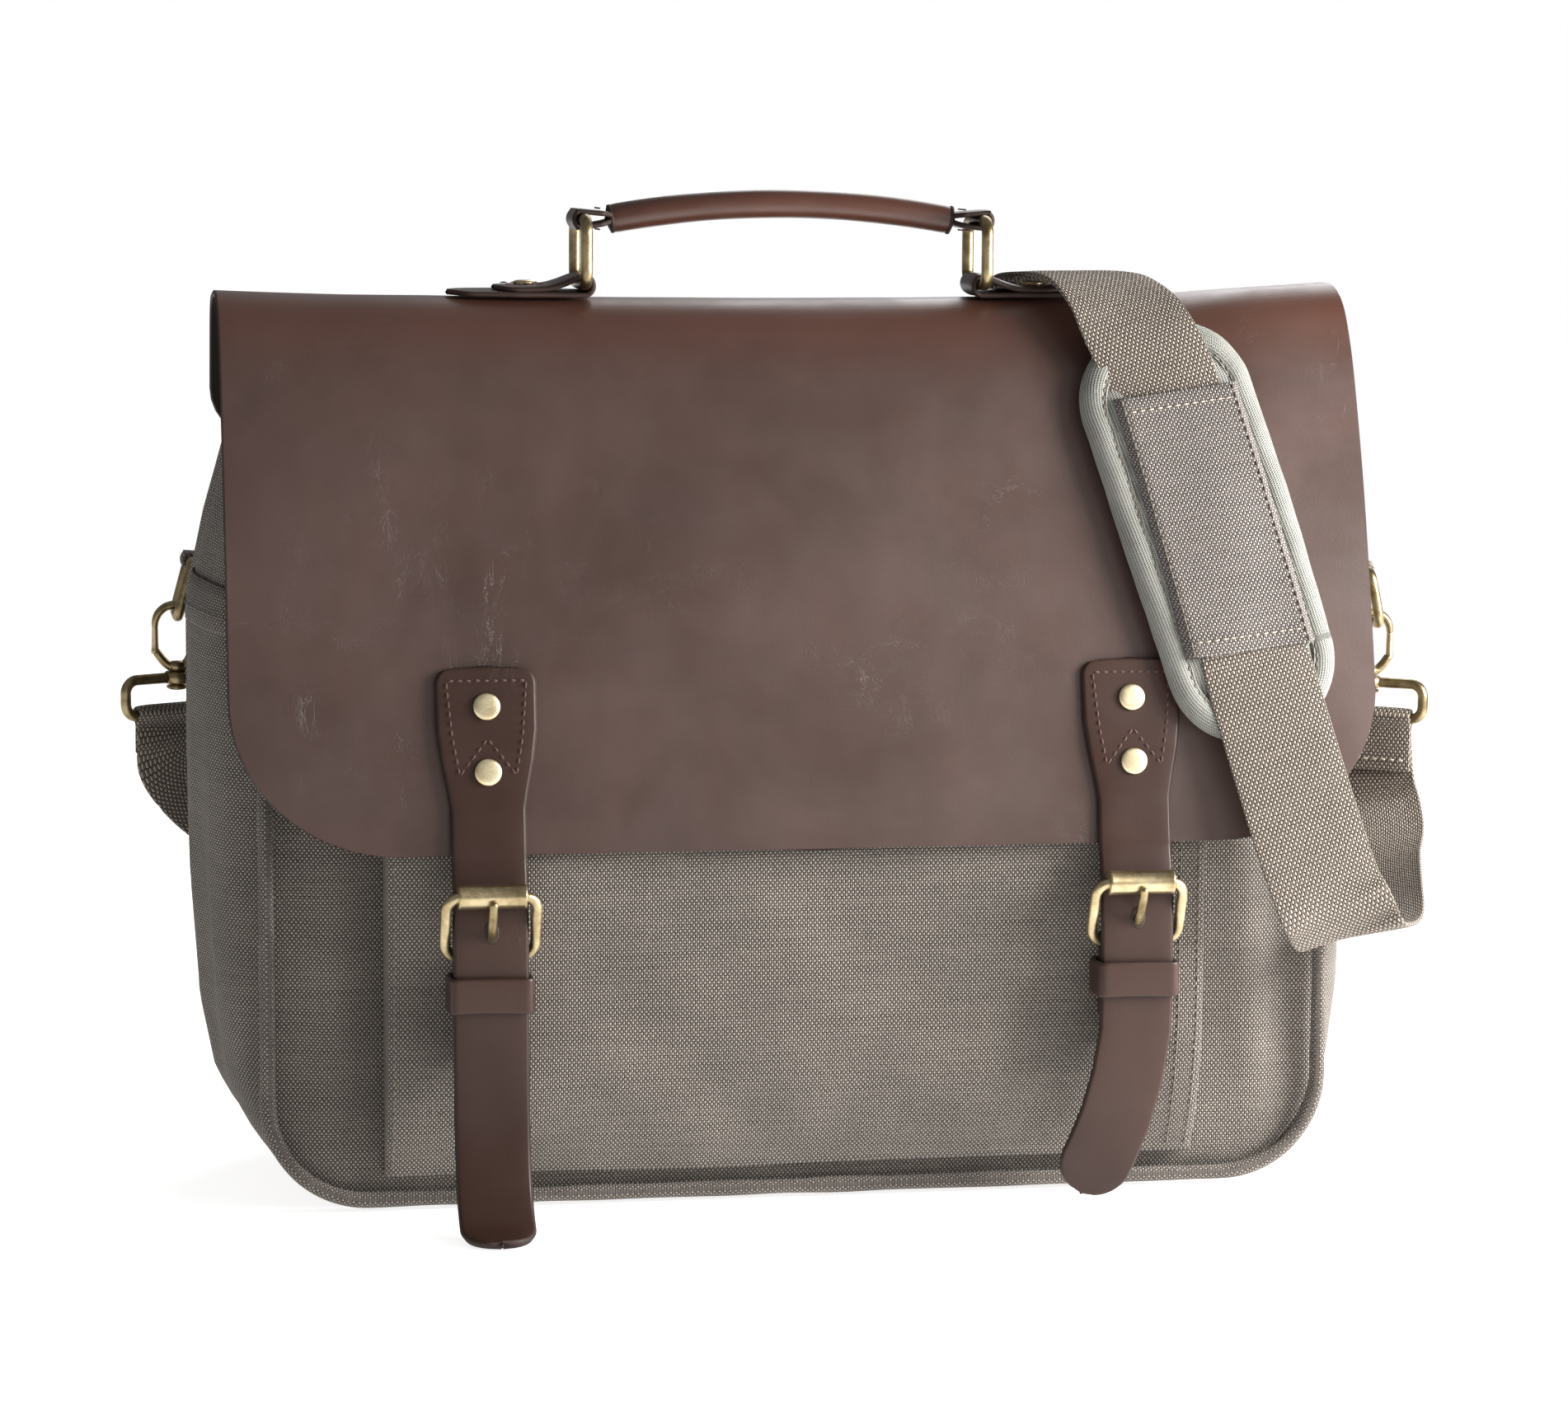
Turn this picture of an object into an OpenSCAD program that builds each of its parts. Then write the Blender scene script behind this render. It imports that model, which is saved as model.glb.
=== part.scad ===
// Canvas satchel with a leather flap, two buckle straps, a carrying handle and a clip-on shoulder strap.
// Millimetres, +Z up. The origin is on the ground under the middle of the bag. The front faces -Y.

/* [Bag] */
// Half width of the front and back panels
panel_half_w = 187; // [180:1:192]
// Canvas thickness with its backing
canvas_t = 2.4; // [1.8:0.2:3]
// Diameter of the piping round the front and back panels
piping_d = 5.6; // [4:0.2:7]

/* [Flap] */
// Left edge of the flap
flap_left = -198; // [-204:1:-192]
// Right edge of the flap
flap_right = 200; // [192:1:204]
// Leather thickness of the flap
flap_t = 2.4; // [1.8:0.2:2.8]

/* [Buckle straps] */
// Distance of each buckle strap from the middle
strap_x = 112; // [100:1:118]
// Width of a buckle strap
strap_w = 24; // [20:1:26]
// Leather thickness of a buckle strap
strap_t = 2.6; // [2:0.2:2.8]
// Outer radius of the buckle roller
roller_r = 4.2; // [3.4:0.2:4.4]
// Radius of a rivet cap
cap_r = 4.5; // [3.5:0.25:5]

/* [Handle] */
// Distance of each handle ring from the middle
ring_x = 71; // [66:1:76]
// Wire radius of the handle rings
ring_wire_r = 2.1; // [1.6:0.1:2.2]
// Radius of the rolled grip
grip_r = 5; // [4.6:0.2:6]

/* [Shoulder strap] */
// Webbing width
web_w = 38; // [34:1:40]
// Webbing thickness
web_t = 1.8; // [1.4:0.2:2]
// Wire radius of the side rings and strap loops
clip_wire_r = 1.9; // [1.5:0.1:2]

/* [Hidden] */
$fn = 48;
gap = 0.3;
cap_h = 1.8;
cap_gap = 0.25;
shank_r = 1.5;

// Side profile of the canvas body, [y, z], front bottom round to back bottom
body_side = [[-44, 0], [-51, 4], [-53, 12], [-53, 60], [-52, 120], [-47, 180], [-41, 220], [-25, 280],
    [28, 298], [34, 280], [41, 220], [45, 150], [47, 60], [47, 12], [45, 4], [38, 0]];
// Front outline of the canvas body, [x, z], from the ground up; the right side bulges less than the left
right_outline = [[178, 0], [190, 14], [197, 38], [201, 68], [202, 110], [202, 160], [201, 205], [198, 235],
    [191, 268], [186, 300]];
left_outline = [[178, 0], [190, 14], [199, 38], [205, 68], [208, 110], [209, 160], [208, 205], [202, 235],
    [192, 268], [186, 300]];
// Plan of the canvas body, [x, y], from front to back
right_plan = [[187, -54], [195, -48], [200, -34], [202, -16], [202, 10], [200, 28], [194, 42], [187, 49]];
left_plan = [[187, -54], [196, -48], [205, -34], [209, -16], [209, 10], [205, 28], [196, 42], [187, 49]];
// Inner face of the flap, [y, z], from its fold at the back, over the top and down the front
flap_fold = [[29.5, 303.2], [24, 306.6], [15, 308.8], [0, 309.4], [-10, 308.4], [-18, 304], [-24, 297],
    [-33, 280], [-46, 245], [-58, 205], [-68.5, 160], [-74, 126]];
// Yoke of the flap on the back panel, inner face
yoke_path = [[29.6, 299.6], [34.6, 281], [37.6, 256]];
// Outer face of the front pocket
pocket_face = [[-55.5, 14], [-63, 26], [-68, 42], [-71, 60], [-71, 126], [-67, 160], [-61, 190]];
pocket_left = -146;
pocket_right = 140;
mouth_z = 330;

// Buckle strap: back face [y, z] below the flap
strap_hang = [[-77.2, 124], [-79.6, 116], [-81.4, 104], [-82.2, 92], [-82.8, 78], [-83.4, 62]];
tail_left = [[-84.6, 44], [-87.5, 27], [-93, 13], [-101, 4.4], [-108, 1], [-114, 0.3]];
tail_right = [[-83.6, 44], [-82.6, 26], [-80.6, 12], [-78.6, 2]];
heel = [-77.9, 92];
top_bar = [-87, 114];
buckle_half_w = 15.2;
buckle_wire_r = 1.9;
heel_wrap_r = 4.1;
snap_z = 64.5;
snap_r = 6;
slot_half_w = 2.4;
tail_bend = [[112, 74], [111.6, 62], [109, 46], [105, 31], [100, 18], [97.6, 12.6]];

// Handle
ring_low_z = 316.1;
ring_high_z = 338.5;
ring_half_y = 16.2;
ring_corner_r = 5;
tab_half_w = 11;
handle_half_w = 9;
handle_rise = 5.5;
grip_half_l = 61;
loop_bore_r = ring_wire_r + gap;
loop_t = 1.9;

// Side hardware: side is -1 on the left and 1 on the right
function ring_top(side) = side < 0 ? [-205.5, 44, 216] : [224.5, 30, 210];
function ring_tilt(side) = side < 0 ? 15 : 12;
ring_drop = 20;
side_ring_half_y = 12.5;
jaw_in_r = 6.4;
jaw_out_r = 9;
jaw_half_h = 3.4;
jaw_t = 5;
swivel_drop = 15;
boss_r = 4.6;
function ring_low(side) =
    ring_top(side) + [side * ring_drop * sin(ring_tilt(side)), 0, -ring_drop * cos(ring_tilt(side))];
function jaw_mid(side) = ring_low(side) - [0, 0, jaw_half_h + jaw_in_r - clip_wire_r - 0.1];
function swivel(side) = jaw_mid(side) - [0, 0, swivel_drop];
loop_half_w = 21;
loop_drop = 13;
function loop_yaw(side) = side < 0 ? 28 : 35;
turned_end_z = 135;

// Shoulder strap: back face of the front run, [y, z]
run_path = [[-34, 303], [-41, 290], [-56, 250], [-70, 205], [-79, 166], [-86, 128], [-89, 112],
    [-90, 98]];
// Front run, left edge then right edge, [x, z]
run_left = [[99.5, 303], [108.4, 283.7], [121.3, 244.9], [133.1, 200.1], [142.8, 160.9], [152.9, 125.5],
    [160.4, 106.3]];
run_right = [[137.5, 303], [144.8, 292], [157.9, 253], [169.7, 209.9], [179.2, 171.1], [189.1, 136.5],
    [195.7, 117]];
pad_left = [[129, 301], [113, 298], [103, 289], [100.5, 277], [108, 250], [121.5, 204], [127, 182],
    [135, 169.5]];
pad_right = [[148, 166.5], [168, 170], [177.5, 181], [179, 196], [168.2, 250], [159, 284], [146, 297]];

// Straight route of each loose run of webbing: [centre, across]
ridge_route = [[[118.4, -35.6, 305], [1, 0.05, 0.05]], [[116, -28, 312], [1, 0.1, 0.04]],
    [[111, -13, 319.2], [1, 0.2, 0]], [[104.4, 6, 319.9], [1, 0.22, 0]], [[98.6, 23.6, 316], [1, 0.14, 0]],
    [[95, 36.4, 306], [1, 0, 0]]];
back_route = [[[92.8, 39.2, 300.6], [1, 0, 0.15]], [[84, 44.6, 270], [1, 0.03, 0.25]],
    [[70, 50, 215], [1, 0.1, 0.3]], [[52, 58, 155], [1, 0.4, 0.35]], [[26, 68, 98], [1, 0.9, 0.7]],
    [[-18, 72, 62], [0.55, 1, 0.45]], [[-72, 73, 48], [0, 1, 0]], [[-124, 72, 64], [0.25, 1, 0.15]],
    [[-158, 69.5, 90], [0.5, 0.8, 0.4]], [[-176.5, 64, 118], [0.75, 0.58, 0.35]],
    [[-192.4, 56.6, 136], [0.87, 0.45, 0.2]]];
left_end_route = [[[-193.2, 56.1, 137], [0.87, 0.45, 0.2]], [[-201.5, 50.2, 146], [0.9, 0.43, 0.08]],
    [[-210.6, 44.2, 157.4], [0.883, 0.469, 0]]];
lower_route = [[[178.4, -90, 108.6], [-0.955, 0, -0.28]], [[183.6, -88.4, 97.5], [-0.95, 0.08, -0.26]],
    [[189, -84.5, 90], [-0.93, 0.22, -0.2]], [[196.2, -79, 86.6], [-0.9, 0.4, -0.12]],
    [[211.6, -61.4, 86.8], [-0.7, 0.7, -0.1]], [[216.6, -37, 94], [-0.52, 0.84, -0.15]],
    [[220.6, -10, 104], [-0.55, 0.8, -0.1]], [[225.4, 12, 113], [-0.7, 0.67, 0]],
    [[228.2, 26.5, 122], [-0.8, 0.58, 0]], [[228.9, 29.8, 133.2], [-0.82, 0.57, 0]]];

canvas = [0.5, 0.46, 0.42];
leather = [0.33, 0.23, 0.2];
strap_leather = [0.28, 0.19, 0.17];
keeper_leather = [0.38, 0.22, 0.18];
webbing = [0.62, 0.57, 0.51];
brass = [0.72, 0.62, 0.4];
lining_cloth = [0.2, 0.18, 0.17];

// ---- helpers ----
function rev(p) = [for (i = [len(p) - 1:-1:0]) p[i]];
function unit(v) = v / norm(v);
function mirrored(p) = [for (q = rev(p)) [-q[0], q[1]]];
function tangent(p, i) = unit(p[min(i + 1, len(p) - 1)] - p[max(i - 1, 0)]);
// A path moved sideways by d, to the left of its direction
function beside(p, d) = [for (i = [0:len(p) - 1]) let (t = tangent(p, i)) p[i] + d * [-t[1], t[0]]];
// A band d thick along a path
function band(p, d, from = 0) = concat(beside(p, from), rev(beside(p, from + d)));
// The part of a closed outline left after an inset of d
function inset(p, d) = let (n = len(p)) [for (i = [0:n - 1])
    let (a = unit(p[i] - p[(i + n - 1) % n]), b = unit(p[(i + 1) % n] - p[i]), m = unit(a + b))
    p[i] + d / max(0.5, m * a) * [-m[1], m[0]]];

// Extrude an outline given as [y, z] along X, or as [x, z] along Y
module along_x(x0, x1, p) {
    translate([x0, 0, 0]) rotate([90, 0, 90]) linear_extrude(x1 - x0) polygon(p);
}
module along_y(y0, y1, p) {
    translate([0, y1, 0]) rotate([90, 0, 0]) linear_extrude(y1 - y0) polygon(p);
}
module box(lo, hi) {
    translate(lo) cube(hi - lo);
}
module rod_x(x0, x1, y, z, r) {
    translate([x0, y, z]) rotate([0, 90, 0]) cylinder(h = x1 - x0, r = r);
}
module rod_y(y0, y1, x, z, r) {
    translate([x, y0, z]) rotate([-90, 0, 0]) cylinder(h = y1 - y0, r = r);
}
// A closed rectangular wire ring in the plane of X and Y, centred on the origin
module wire_ring(half_x, half_y, corner, wire) {
    for (s = [-1, 1]) {
        translate([s * half_x, -(half_y - corner), 0]) rotate([-90, 0, 0])
            cylinder(h = 2 * (half_y - corner), r = wire);
        translate([-(half_x - corner), s * half_y, 0]) rotate([0, 90, 0])
            cylinder(h = 2 * (half_x - corner), r = wire);
        for (t = [-1, 1])
            translate([s * (half_x - corner), t * (half_y - corner), 0])
                rotate([0, 0, s > 0 ? (t > 0 ? 0 : 270) : (t > 0 ? 90 : 180)])
                    rotate_extrude(angle = 90) translate([corner, 0]) circle(r = wire);
    }
}
// Points of a smooth curve through route points
function smooth(p, k, steps) = [for (i = [0:len(p) - 2], j = [0:steps - 1])
    let (a = p[max(i - 1, 0)][k], b = p[i][k], c = p[i + 1][k],
        d = p[min(i + 2, len(p) - 1)][k], t = j / steps)
    0.5 * (2 * b + (c - a) * t + (2 * a - 5 * b + 4 * c - d) * t * t
        + (3 * b - a - 3 * c + d) * t * t * t)];
// A flat ribbon along a route of [centre, across]
module ribbon(route, w, t, steps = 3) {
    mid = concat(smooth(route, 0, steps), [route[len(route) - 1][0]]);
    across = concat(smooth(route, 1, steps), [route[len(route) - 1][1]]);
    n = len(mid);
    ring = [for (i = [0:n - 1])
        let (d = unit(mid[min(i + 1, n - 1)] - mid[max(i - 1, 0)]),
            a = unit(across[i] - (across[i] * d) * d) * w / 2,
            u = unit(cross(d, a)) * t / 2)
        [mid[i] - a - u, mid[i] + a - u, mid[i] + a + u, mid[i] - a + u]];
    points = [for (r = ring, q = r) q];
    sides = [for (i = [0:n - 2], j = [0:3], k = [0, 1])
        let (p = 4 * i + j, q = 4 * i + (j + 1) % 4) k == 0 ? [p, p + 4, q + 4] : [p, q + 4, q]];
    last = 4 * (n - 1);
    ends = [[0, 1, 2], [0, 2, 3], [last, last + 2, last + 1], [last, last + 3, last + 2]];
    polyhedron(points, concat(ends, sides), convexity = 8);
}

// ---- canvas body ----
body_front = concat(right_outline, mirrored(left_outline));
body_plan = concat(right_plan, mirrored(left_plan));
front_zone = [[-80, 6], [-38, 6], [-12, 300], [-80, 300]];
back_zone = [[70, 6], [33, 6], [22, 300], [70, 300]];
mouth_cut = [[-24.5, 274], [27.6, 290], [27.6, mouth_z], [-60, mouth_z], [-60, 274]];
base_half_w = 172;

// The whole canvas body as one block, d inside its outer face
module body_volume(d) {
    intersection() {
        along_x(-220, 220, inset(body_side, -d));
        along_y(-70, 70, inset(body_front, d));
        translate([0, 0, -10]) linear_extrude(340) polygon(inset(body_plan, d));
    }
}
module body_shell() {
    difference() {
        body_volume(0);
        body_volume(canvas_t);
        along_x(-240, 240, mouth_cut);
    }
}
module back_panel() {
    color(canvas) intersection() {
        body_shell();
        along_x(-panel_half_w, panel_half_w, back_zone);
    }
}
module front_panel() {
    color(canvas) intersection() {
        body_shell();
        along_x(-panel_half_w, panel_half_w, front_zone);
    }
}
module base_panel() {
    color(canvas) intersection() {
        body_shell();
        box([-base_half_w, -70, -1], [base_half_w, 70, 6]);
    }
}
module gusset(side) {
    color(canvas) difference() {
        intersection() {
            body_shell();
            box([side < 0 ? -240 : 0, -90, -1], [side < 0 ? 0 : 240, 90, mouth_z]);
        }
        along_x(-panel_half_w, panel_half_w, front_zone);
        along_x(-panel_half_w, panel_half_w, back_zone);
        box([-base_half_w, -71, -2], [base_half_w, 71, 6]);
    }
}
lining_gap = 0.4;
lining_t = 0.8;
module lining() {
    color(lining_cloth) difference() {
        body_volume(canvas_t + lining_gap);
        body_volume(canvas_t + lining_gap + lining_t);
        along_x(-240, 240, [for (q = mouth_cut) q - [0, 4]]);
    }
}
inner_d = canvas_t + lining_gap + lining_t + 0.2;
board_t = 1.6;
module base_board() {
    color(lining_cloth) intersection() {
        body_volume(inner_d);
        box([-168, -42, inner_d], [168, 36, inner_d + board_t]);
    }
}
divider_path = [[15, 8], [14, 222]];
divider_t = 6;
module laptop_divider() {
    color(lining_cloth) intersection() {
        body_volume(inner_d);
        along_x(-182, 182, band(divider_path, -divider_t));
    }
}
// The patch pocket on the front: a face, two sides and a bottom, open at the top
pocket_t = 2.2;
pocket_back = [[-46, 190], [-47.3, 180], [-52.3, 120], [-53.3, 60], [-53.3, 14]];
module front_pocket() {
    inner = beside(pocket_face, -pocket_t);
    color(canvas) difference() {
        along_x(pocket_left, pocket_right, concat(pocket_face, pocket_back));
        along_x(pocket_left + pocket_t, pocket_right - pocket_t,
            concat([[-40, 17], [inner[0][0], 17]], [for (i = [1:len(inner) - 1]) inner[i]],
                [[inner[len(inner) - 1][0], 200], [-40, 200]]));
    }
}
// Piping round one panel, as a band along the side profile cut to a U in the front view
pipe_low = 1;
pipe_corner = 38;
module piping(rise) {
    outer_r = pipe_corner;
    inner_r = pipe_corner - piping_d;
    cx = panel_half_w + 1.4 - pipe_corner;
    cz = pipe_low + pipe_corner;
    color(canvas) intersection() {
        along_x(-200, 200, band(rise, piping_d, -piping_d / 2));
        along_y(-80, 80, concat([[cx + outer_r, 270]], corner_arc(cx, cz, outer_r, outer_r, 360, 270),
            corner_arc(-cx, cz, outer_r, outer_r, 270, 180), [[-cx - outer_r, 270], [-cx - inner_r, 270]],
            corner_arc(-cx, cz, inner_r, inner_r, 180, 270), corner_arc(cx, cz, inner_r, inner_r, 270, 360),
            [[cx + inner_r, 270]]));
    }
}
module front_piping() { piping([[-56.6, -5], [-56.6, 60], [-55.8, 120], [-51, 176], [-46.8, 204]]); }
module back_piping() { piping([[50.6, -5], [50.6, 60], [48.6, 150], [42.4, 240]]); }
// One leather layer on the back panel, with rounded lower corners
function corner_arc(cx, cz, rx, rz, a0, a1, n = 8) =
    [for (i = [0:n]) let (a = a0 + (a1 - a0) * i / n) [cx + rx * cos(a), cz + rz * sin(a)]];
module flap_yoke() {
    color(leather) intersection() {
        along_x(flap_left, flap_right, band(yoke_path, 2.2));
        along_y(20, 60, concat(corner_arc(flap_left + 26, 276, 26, 20, 180, 270),
            corner_arc(flap_right - 26, 276, 26, 20, 270, 360), [[flap_right, 320], [flap_left, 320]]));
    }
}
module snap_socket(side) {
    color(brass) difference() {
        rod_y(-72.6, -71.05, side * strap_x, snap_z, snap_r);
        rod_y(-73, -70, side * strap_x, snap_z, 3.8);
    }
}
module ring_anchor(side) {
    p = ring_top(side);
    root_x = side < 0 ? -191 : 199.2;
    color(leather) difference() {
        union() {
            rod_y(p[1] - 6, p[1] + 6, p[0], p[2], clip_wire_r + gap + 1.5);
            box([min(root_x, p[0]), p[1] - 6, p[2] - 1.6], [max(root_x, p[0]), p[1] + 6, p[2] + 1.6]);
        }
        rod_y(p[1] - 7, p[1] + 7, p[0], p[2], clip_wire_r + gap);
        body_volume(-0.05);
    }
}

// ---- flap ----
flap_corner = [57, 52];
flap_corner_z = 178;
rivet_z = [175.5, 154];
// Lean of the flap's outer face at height z
function face_tilt(z) = z > 160 ? 13.1 : 9.4;
function face_y(z) = lookup(z, [for (q = rev(beside(flap_fold, -flap_t))) [q[1], q[0]]]);
module flap() {
    color(leather) difference() {
        intersection() {
            along_x(flap_left, flap_right, band(flap_fold, -flap_t));
            along_y(-90, 60, concat(
                corner_arc(flap_left + flap_corner[0], flap_corner_z, flap_corner[0], flap_corner[1],
                    180, 270),
                corner_arc(flap_right - flap_corner[0], flap_corner_z, flap_corner[0], flap_corner[1],
                    270, 360),
                [[flap_right, 330], [flap_left, 330]]));
        }
        for (s = [-1, 1]) {
            strap_rivet_bores(s);
            translate([s * 91, 0, 300]) cylinder(h = 20, r = shank_r + 0.1);
        }
    }
}
module at_rivet(side, z) {
    translate([side * strap_x, face_y(z), z]) rotate([90 - face_tilt(z), 0, 0]) children();
}
module strap_rivet_bores(side) {
    for (z = rivet_z) at_rivet(side, z) translate([0, 0, -8]) cylinder(h = 16, r = shank_r + 0.1);
}
module strap_rivets(side) {
    color(brass) for (z = rivet_z) at_rivet(side, z) {
        translate([0, 0, strap_t + cap_gap]) cylinder(h = cap_h - 0.6, r = cap_r);
        translate([0, 0, strap_t + cap_gap + cap_h - 0.6]) cylinder(h = 0.6, r = cap_r - 0.7);
        translate([0, 0, -flap_t - cap_gap - 0.3])
            cylinder(h = strap_t + flap_t + 2 * cap_gap + 0.4, r = shank_r);
        translate([0, 0, -flap_t - cap_gap - 0.4]) cylinder(h = 0.4, r = 3.4);
    }
}
// Half of the strap's outline at its wide sewn end, [out from the middle, z]
strap_end_half = concat([[0, 187.5]], corner_arc(11, 182, 5.5, 5.5, 90, 0, 5),
    [[16.4, 168], [15, 158], [13.2, 149], [12.2, 142], [12, 136]]);
strap_face = [[-64.42, 188.5], [-71.05, 160], [-76.7, 127]];
module strap_top_outline(side) {
    along_y(-130, -50, concat([for (q = strap_end_half) [side * strap_x + q[0], q[1]]],
        [[side * strap_x + strap_w / 2, 70], [side * strap_x - strap_w / 2, 70]],
        [for (q = rev(strap_end_half)) [side * strap_x - q[0], q[1]]]));
}
module buckle_strap(side) {
    path = concat(strap_face, strap_hang, side < 0 ? tail_left : tail_right);
    color(strap_leather) difference() {
        intersection() {
            along_x(side * strap_x - 30, side * strap_x + 30, band(path, -strap_t));
            union() {
                strap_top_outline(side);
                if (side < 0)
                    translate([0, 0, -1]) linear_extrude(71.1) {
                        translate([-strap_x - strap_w / 2, -104]) square([strap_w, 40]);
                        translate([-strap_x, -104]) circle(d = strap_w);
                    }
                else
                    along_y(-130, -50, concat(beside(tail_bend, strap_w / 2),
                        rev(beside(tail_bend, -strap_w / 2))));
                if (side > 0)
                    rod_y(-130, -50, tail_bend[5][0], tail_bend[5][1], strap_w / 2);
            }
        }
        strap_rivet_bores(side);
        box([side * strap_x - 2.1, -90, 88.2], [side * strap_x + 2.1, -80, 105]);
    }
}
module chape(side) {
    x = side * strap_x;
    color(strap_leather) difference() {
        union() {
            rod_x(x - 11.6, x + 11.6, heel[0], heel[1], heel_wrap_r);
            box([x - 11.6, -76.8, 69], [x + 11.6, -74.4, heel[1]]);
            rod_y(-76.8, -74.4, x, 69.1, 11.6);
        }
        rod_x(x - 12, x + 12, heel[0], heel[1], buckle_wire_r + gap);
        box([x - slot_half_w, -84, 87.8], [x + slot_half_w, -73, 98]);
    }
}
module snap_stud(side) {
    color(brass) {
        rod_y(-74.35, -72.9, side * strap_x, snap_z, snap_r);
        rod_y(-73, -71.6, side * strap_x, snap_z, 2.5);
    }
}
buckle_tilt = atan2(heel[0] - top_bar[0], top_bar[1] - heel[1]);
buckle_half_l = norm(top_bar - heel) / 2;
module buckle(side) {
    color(brass) translate([side * strap_x, heel[0], heel[1]]) rotate([buckle_tilt, 0, 0])
        for (s = [-1, 1]) {
            translate([s * buckle_half_w, 0, 0]) cylinder(h = 2 * buckle_half_l, r = buckle_wire_r);
            for (z = [0, 2 * buckle_half_l]) translate([s * buckle_half_w, 0, z]) sphere(r = buckle_wire_r);
            rod_x(-buckle_half_w, buckle_half_w, 0, (s + 1) * buckle_half_l, buckle_wire_r);
        }
}
module roller(side) {
    color(brass) difference() {
        rod_x(side * strap_x - 11.5, side * strap_x + 11.5, top_bar[0], top_bar[1], roller_r);
        rod_x(side * strap_x - 12, side * strap_x + 12, top_bar[0], top_bar[1], buckle_wire_r + 0.1);
    }
}
prong_r = 1.3;
prong_l = 25;
prong_lean = buckle_tilt + asin((roller_r + prong_r + 0.1) / norm(top_bar - heel));
module prong(side) {
    color(brass) difference() {
        union() {
            rod_x(side * strap_x - 2, side * strap_x + 2, heel[0], heel[1], buckle_wire_r + 1.7);
            translate([side * strap_x, heel[0], heel[1]]) rotate([prong_lean, 0, 0]) {
                cylinder(h = prong_l, r = prong_r);
                translate([0, 0, prong_l]) sphere(r = prong_r);
            }
        }
        rod_x(side * strap_x - 3, side * strap_x + 3, heel[0], heel[1], buckle_wire_r + 0.1);
    }
}
keeper_z = [74, 86];
module keeper(side) {
    x = side * strap_x;
    color(keeper_leather) difference() {
        box([x - 14.4, -87.8, keeper_z[0]], [x + 14.4, -72.3, keeper_z[1]]);
        box([x - 12.7, -86.2, keeper_z[0] - 1], [x + 12.7, -73.9, keeper_z[1] + 1]);
    }
}

// ---- handle ----
tab_z = 311.9;
tab_side = [[0, 0], [45, 0], [46, 1], [41, 3.7], [13, 3.7], [5, 7.4], [0, 8.4]];
module handle_tab(side) {
    color(strap_leather) difference() {
        union() {
            intersection() {
                mirror([side < 0 ? 1 : 0, 0, 0]) translate([ring_x, 0, tab_z])
                    along_y(-tab_half_w, tab_half_w, tab_side);
                translate([0, 0, 300]) linear_extrude(30) {
                    translate([side * (ring_x + 16), 0]) square([40, 2 * tab_half_w], center = true);
                    translate([side * (ring_x + 35), 0]) circle(r = tab_half_w);
                }
            }
            rod_y(-tab_half_w, tab_half_w, side * ring_x, ring_low_z, loop_bore_r + loop_t - 0.1);
        }
        rod_y(-tab_half_w - 1, tab_half_w + 1, side * ring_x, ring_low_z, loop_bore_r);
        translate([side * 91, 0, 300]) cylinder(h = 30, r = shank_r + 0.1);
    }
}
module tab_rivets() {
    color(brass) for (s = [-1, 1]) translate([s * 91, 0, 0]) {
        translate([0, 0, tab_z + 3.75]) cylinder(h = 1.6, r = 3.8);
        translate([0, 0, 307.6]) cylinder(h = 9, r = shank_r);
        translate([0, 0, 307.5]) cylinder(h = 1.2, r = 3.6);
    }
}
module handle_ring(side) {
    color(brass) translate([side * ring_x, 0, (ring_low_z + ring_high_z) / 2]) rotate([0, 90, 0])
        wire_ring((ring_high_z - ring_low_z) / 2, ring_half_y, ring_corner_r, ring_wire_r);
}
arc_r = (grip_half_l * grip_half_l + handle_rise * handle_rise) / (2 * handle_rise);
arc_deg = 2 * asin(grip_half_l / arc_r);
// Sweep a section, [out from the arc, across], along the handle's arch
module along_arch() {
    translate([0, 0, ring_high_z + handle_rise - arc_r]) rotate([90, 0, 0])
        rotate([0, 0, 90 - arc_deg / 2]) rotate_extrude(angle = arc_deg, $fn = 180)
            translate([arc_r, 0]) children();
}
core_w = 6;
module handle_grip() {
    color(strap_leather) difference() {
        along_arch() circle(r = grip_r);
        along_arch() square([2 * loop_t + 0.1, core_w + 0.1], center = true);
    }
}
module handle_strap() {
    color(strap_leather) difference() {
        union() {
            along_arch() square([2 * loop_t, core_w], center = true);
            for (s = [-1, 1]) {
                rod_y(-handle_half_w, handle_half_w, s * ring_x, ring_high_z, loop_bore_r + loop_t);
                box([min(s * ring_x, s * (grip_half_l + 1)), -handle_half_w, ring_high_z - loop_t],
                    [max(s * ring_x, s * (grip_half_l + 1)), handle_half_w, ring_high_z + loop_t]);
                box([min(s * 59, s * 63), -core_w / 2, ring_high_z - loop_t],
                    [max(s * 59, s * 63), core_w / 2, ring_high_z + loop_t]);
            }
        }
        for (s = [-1, 1])
            rod_y(-handle_half_w - 1, handle_half_w + 1, s * ring_x, ring_high_z, loop_bore_r);
    }
}

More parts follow.
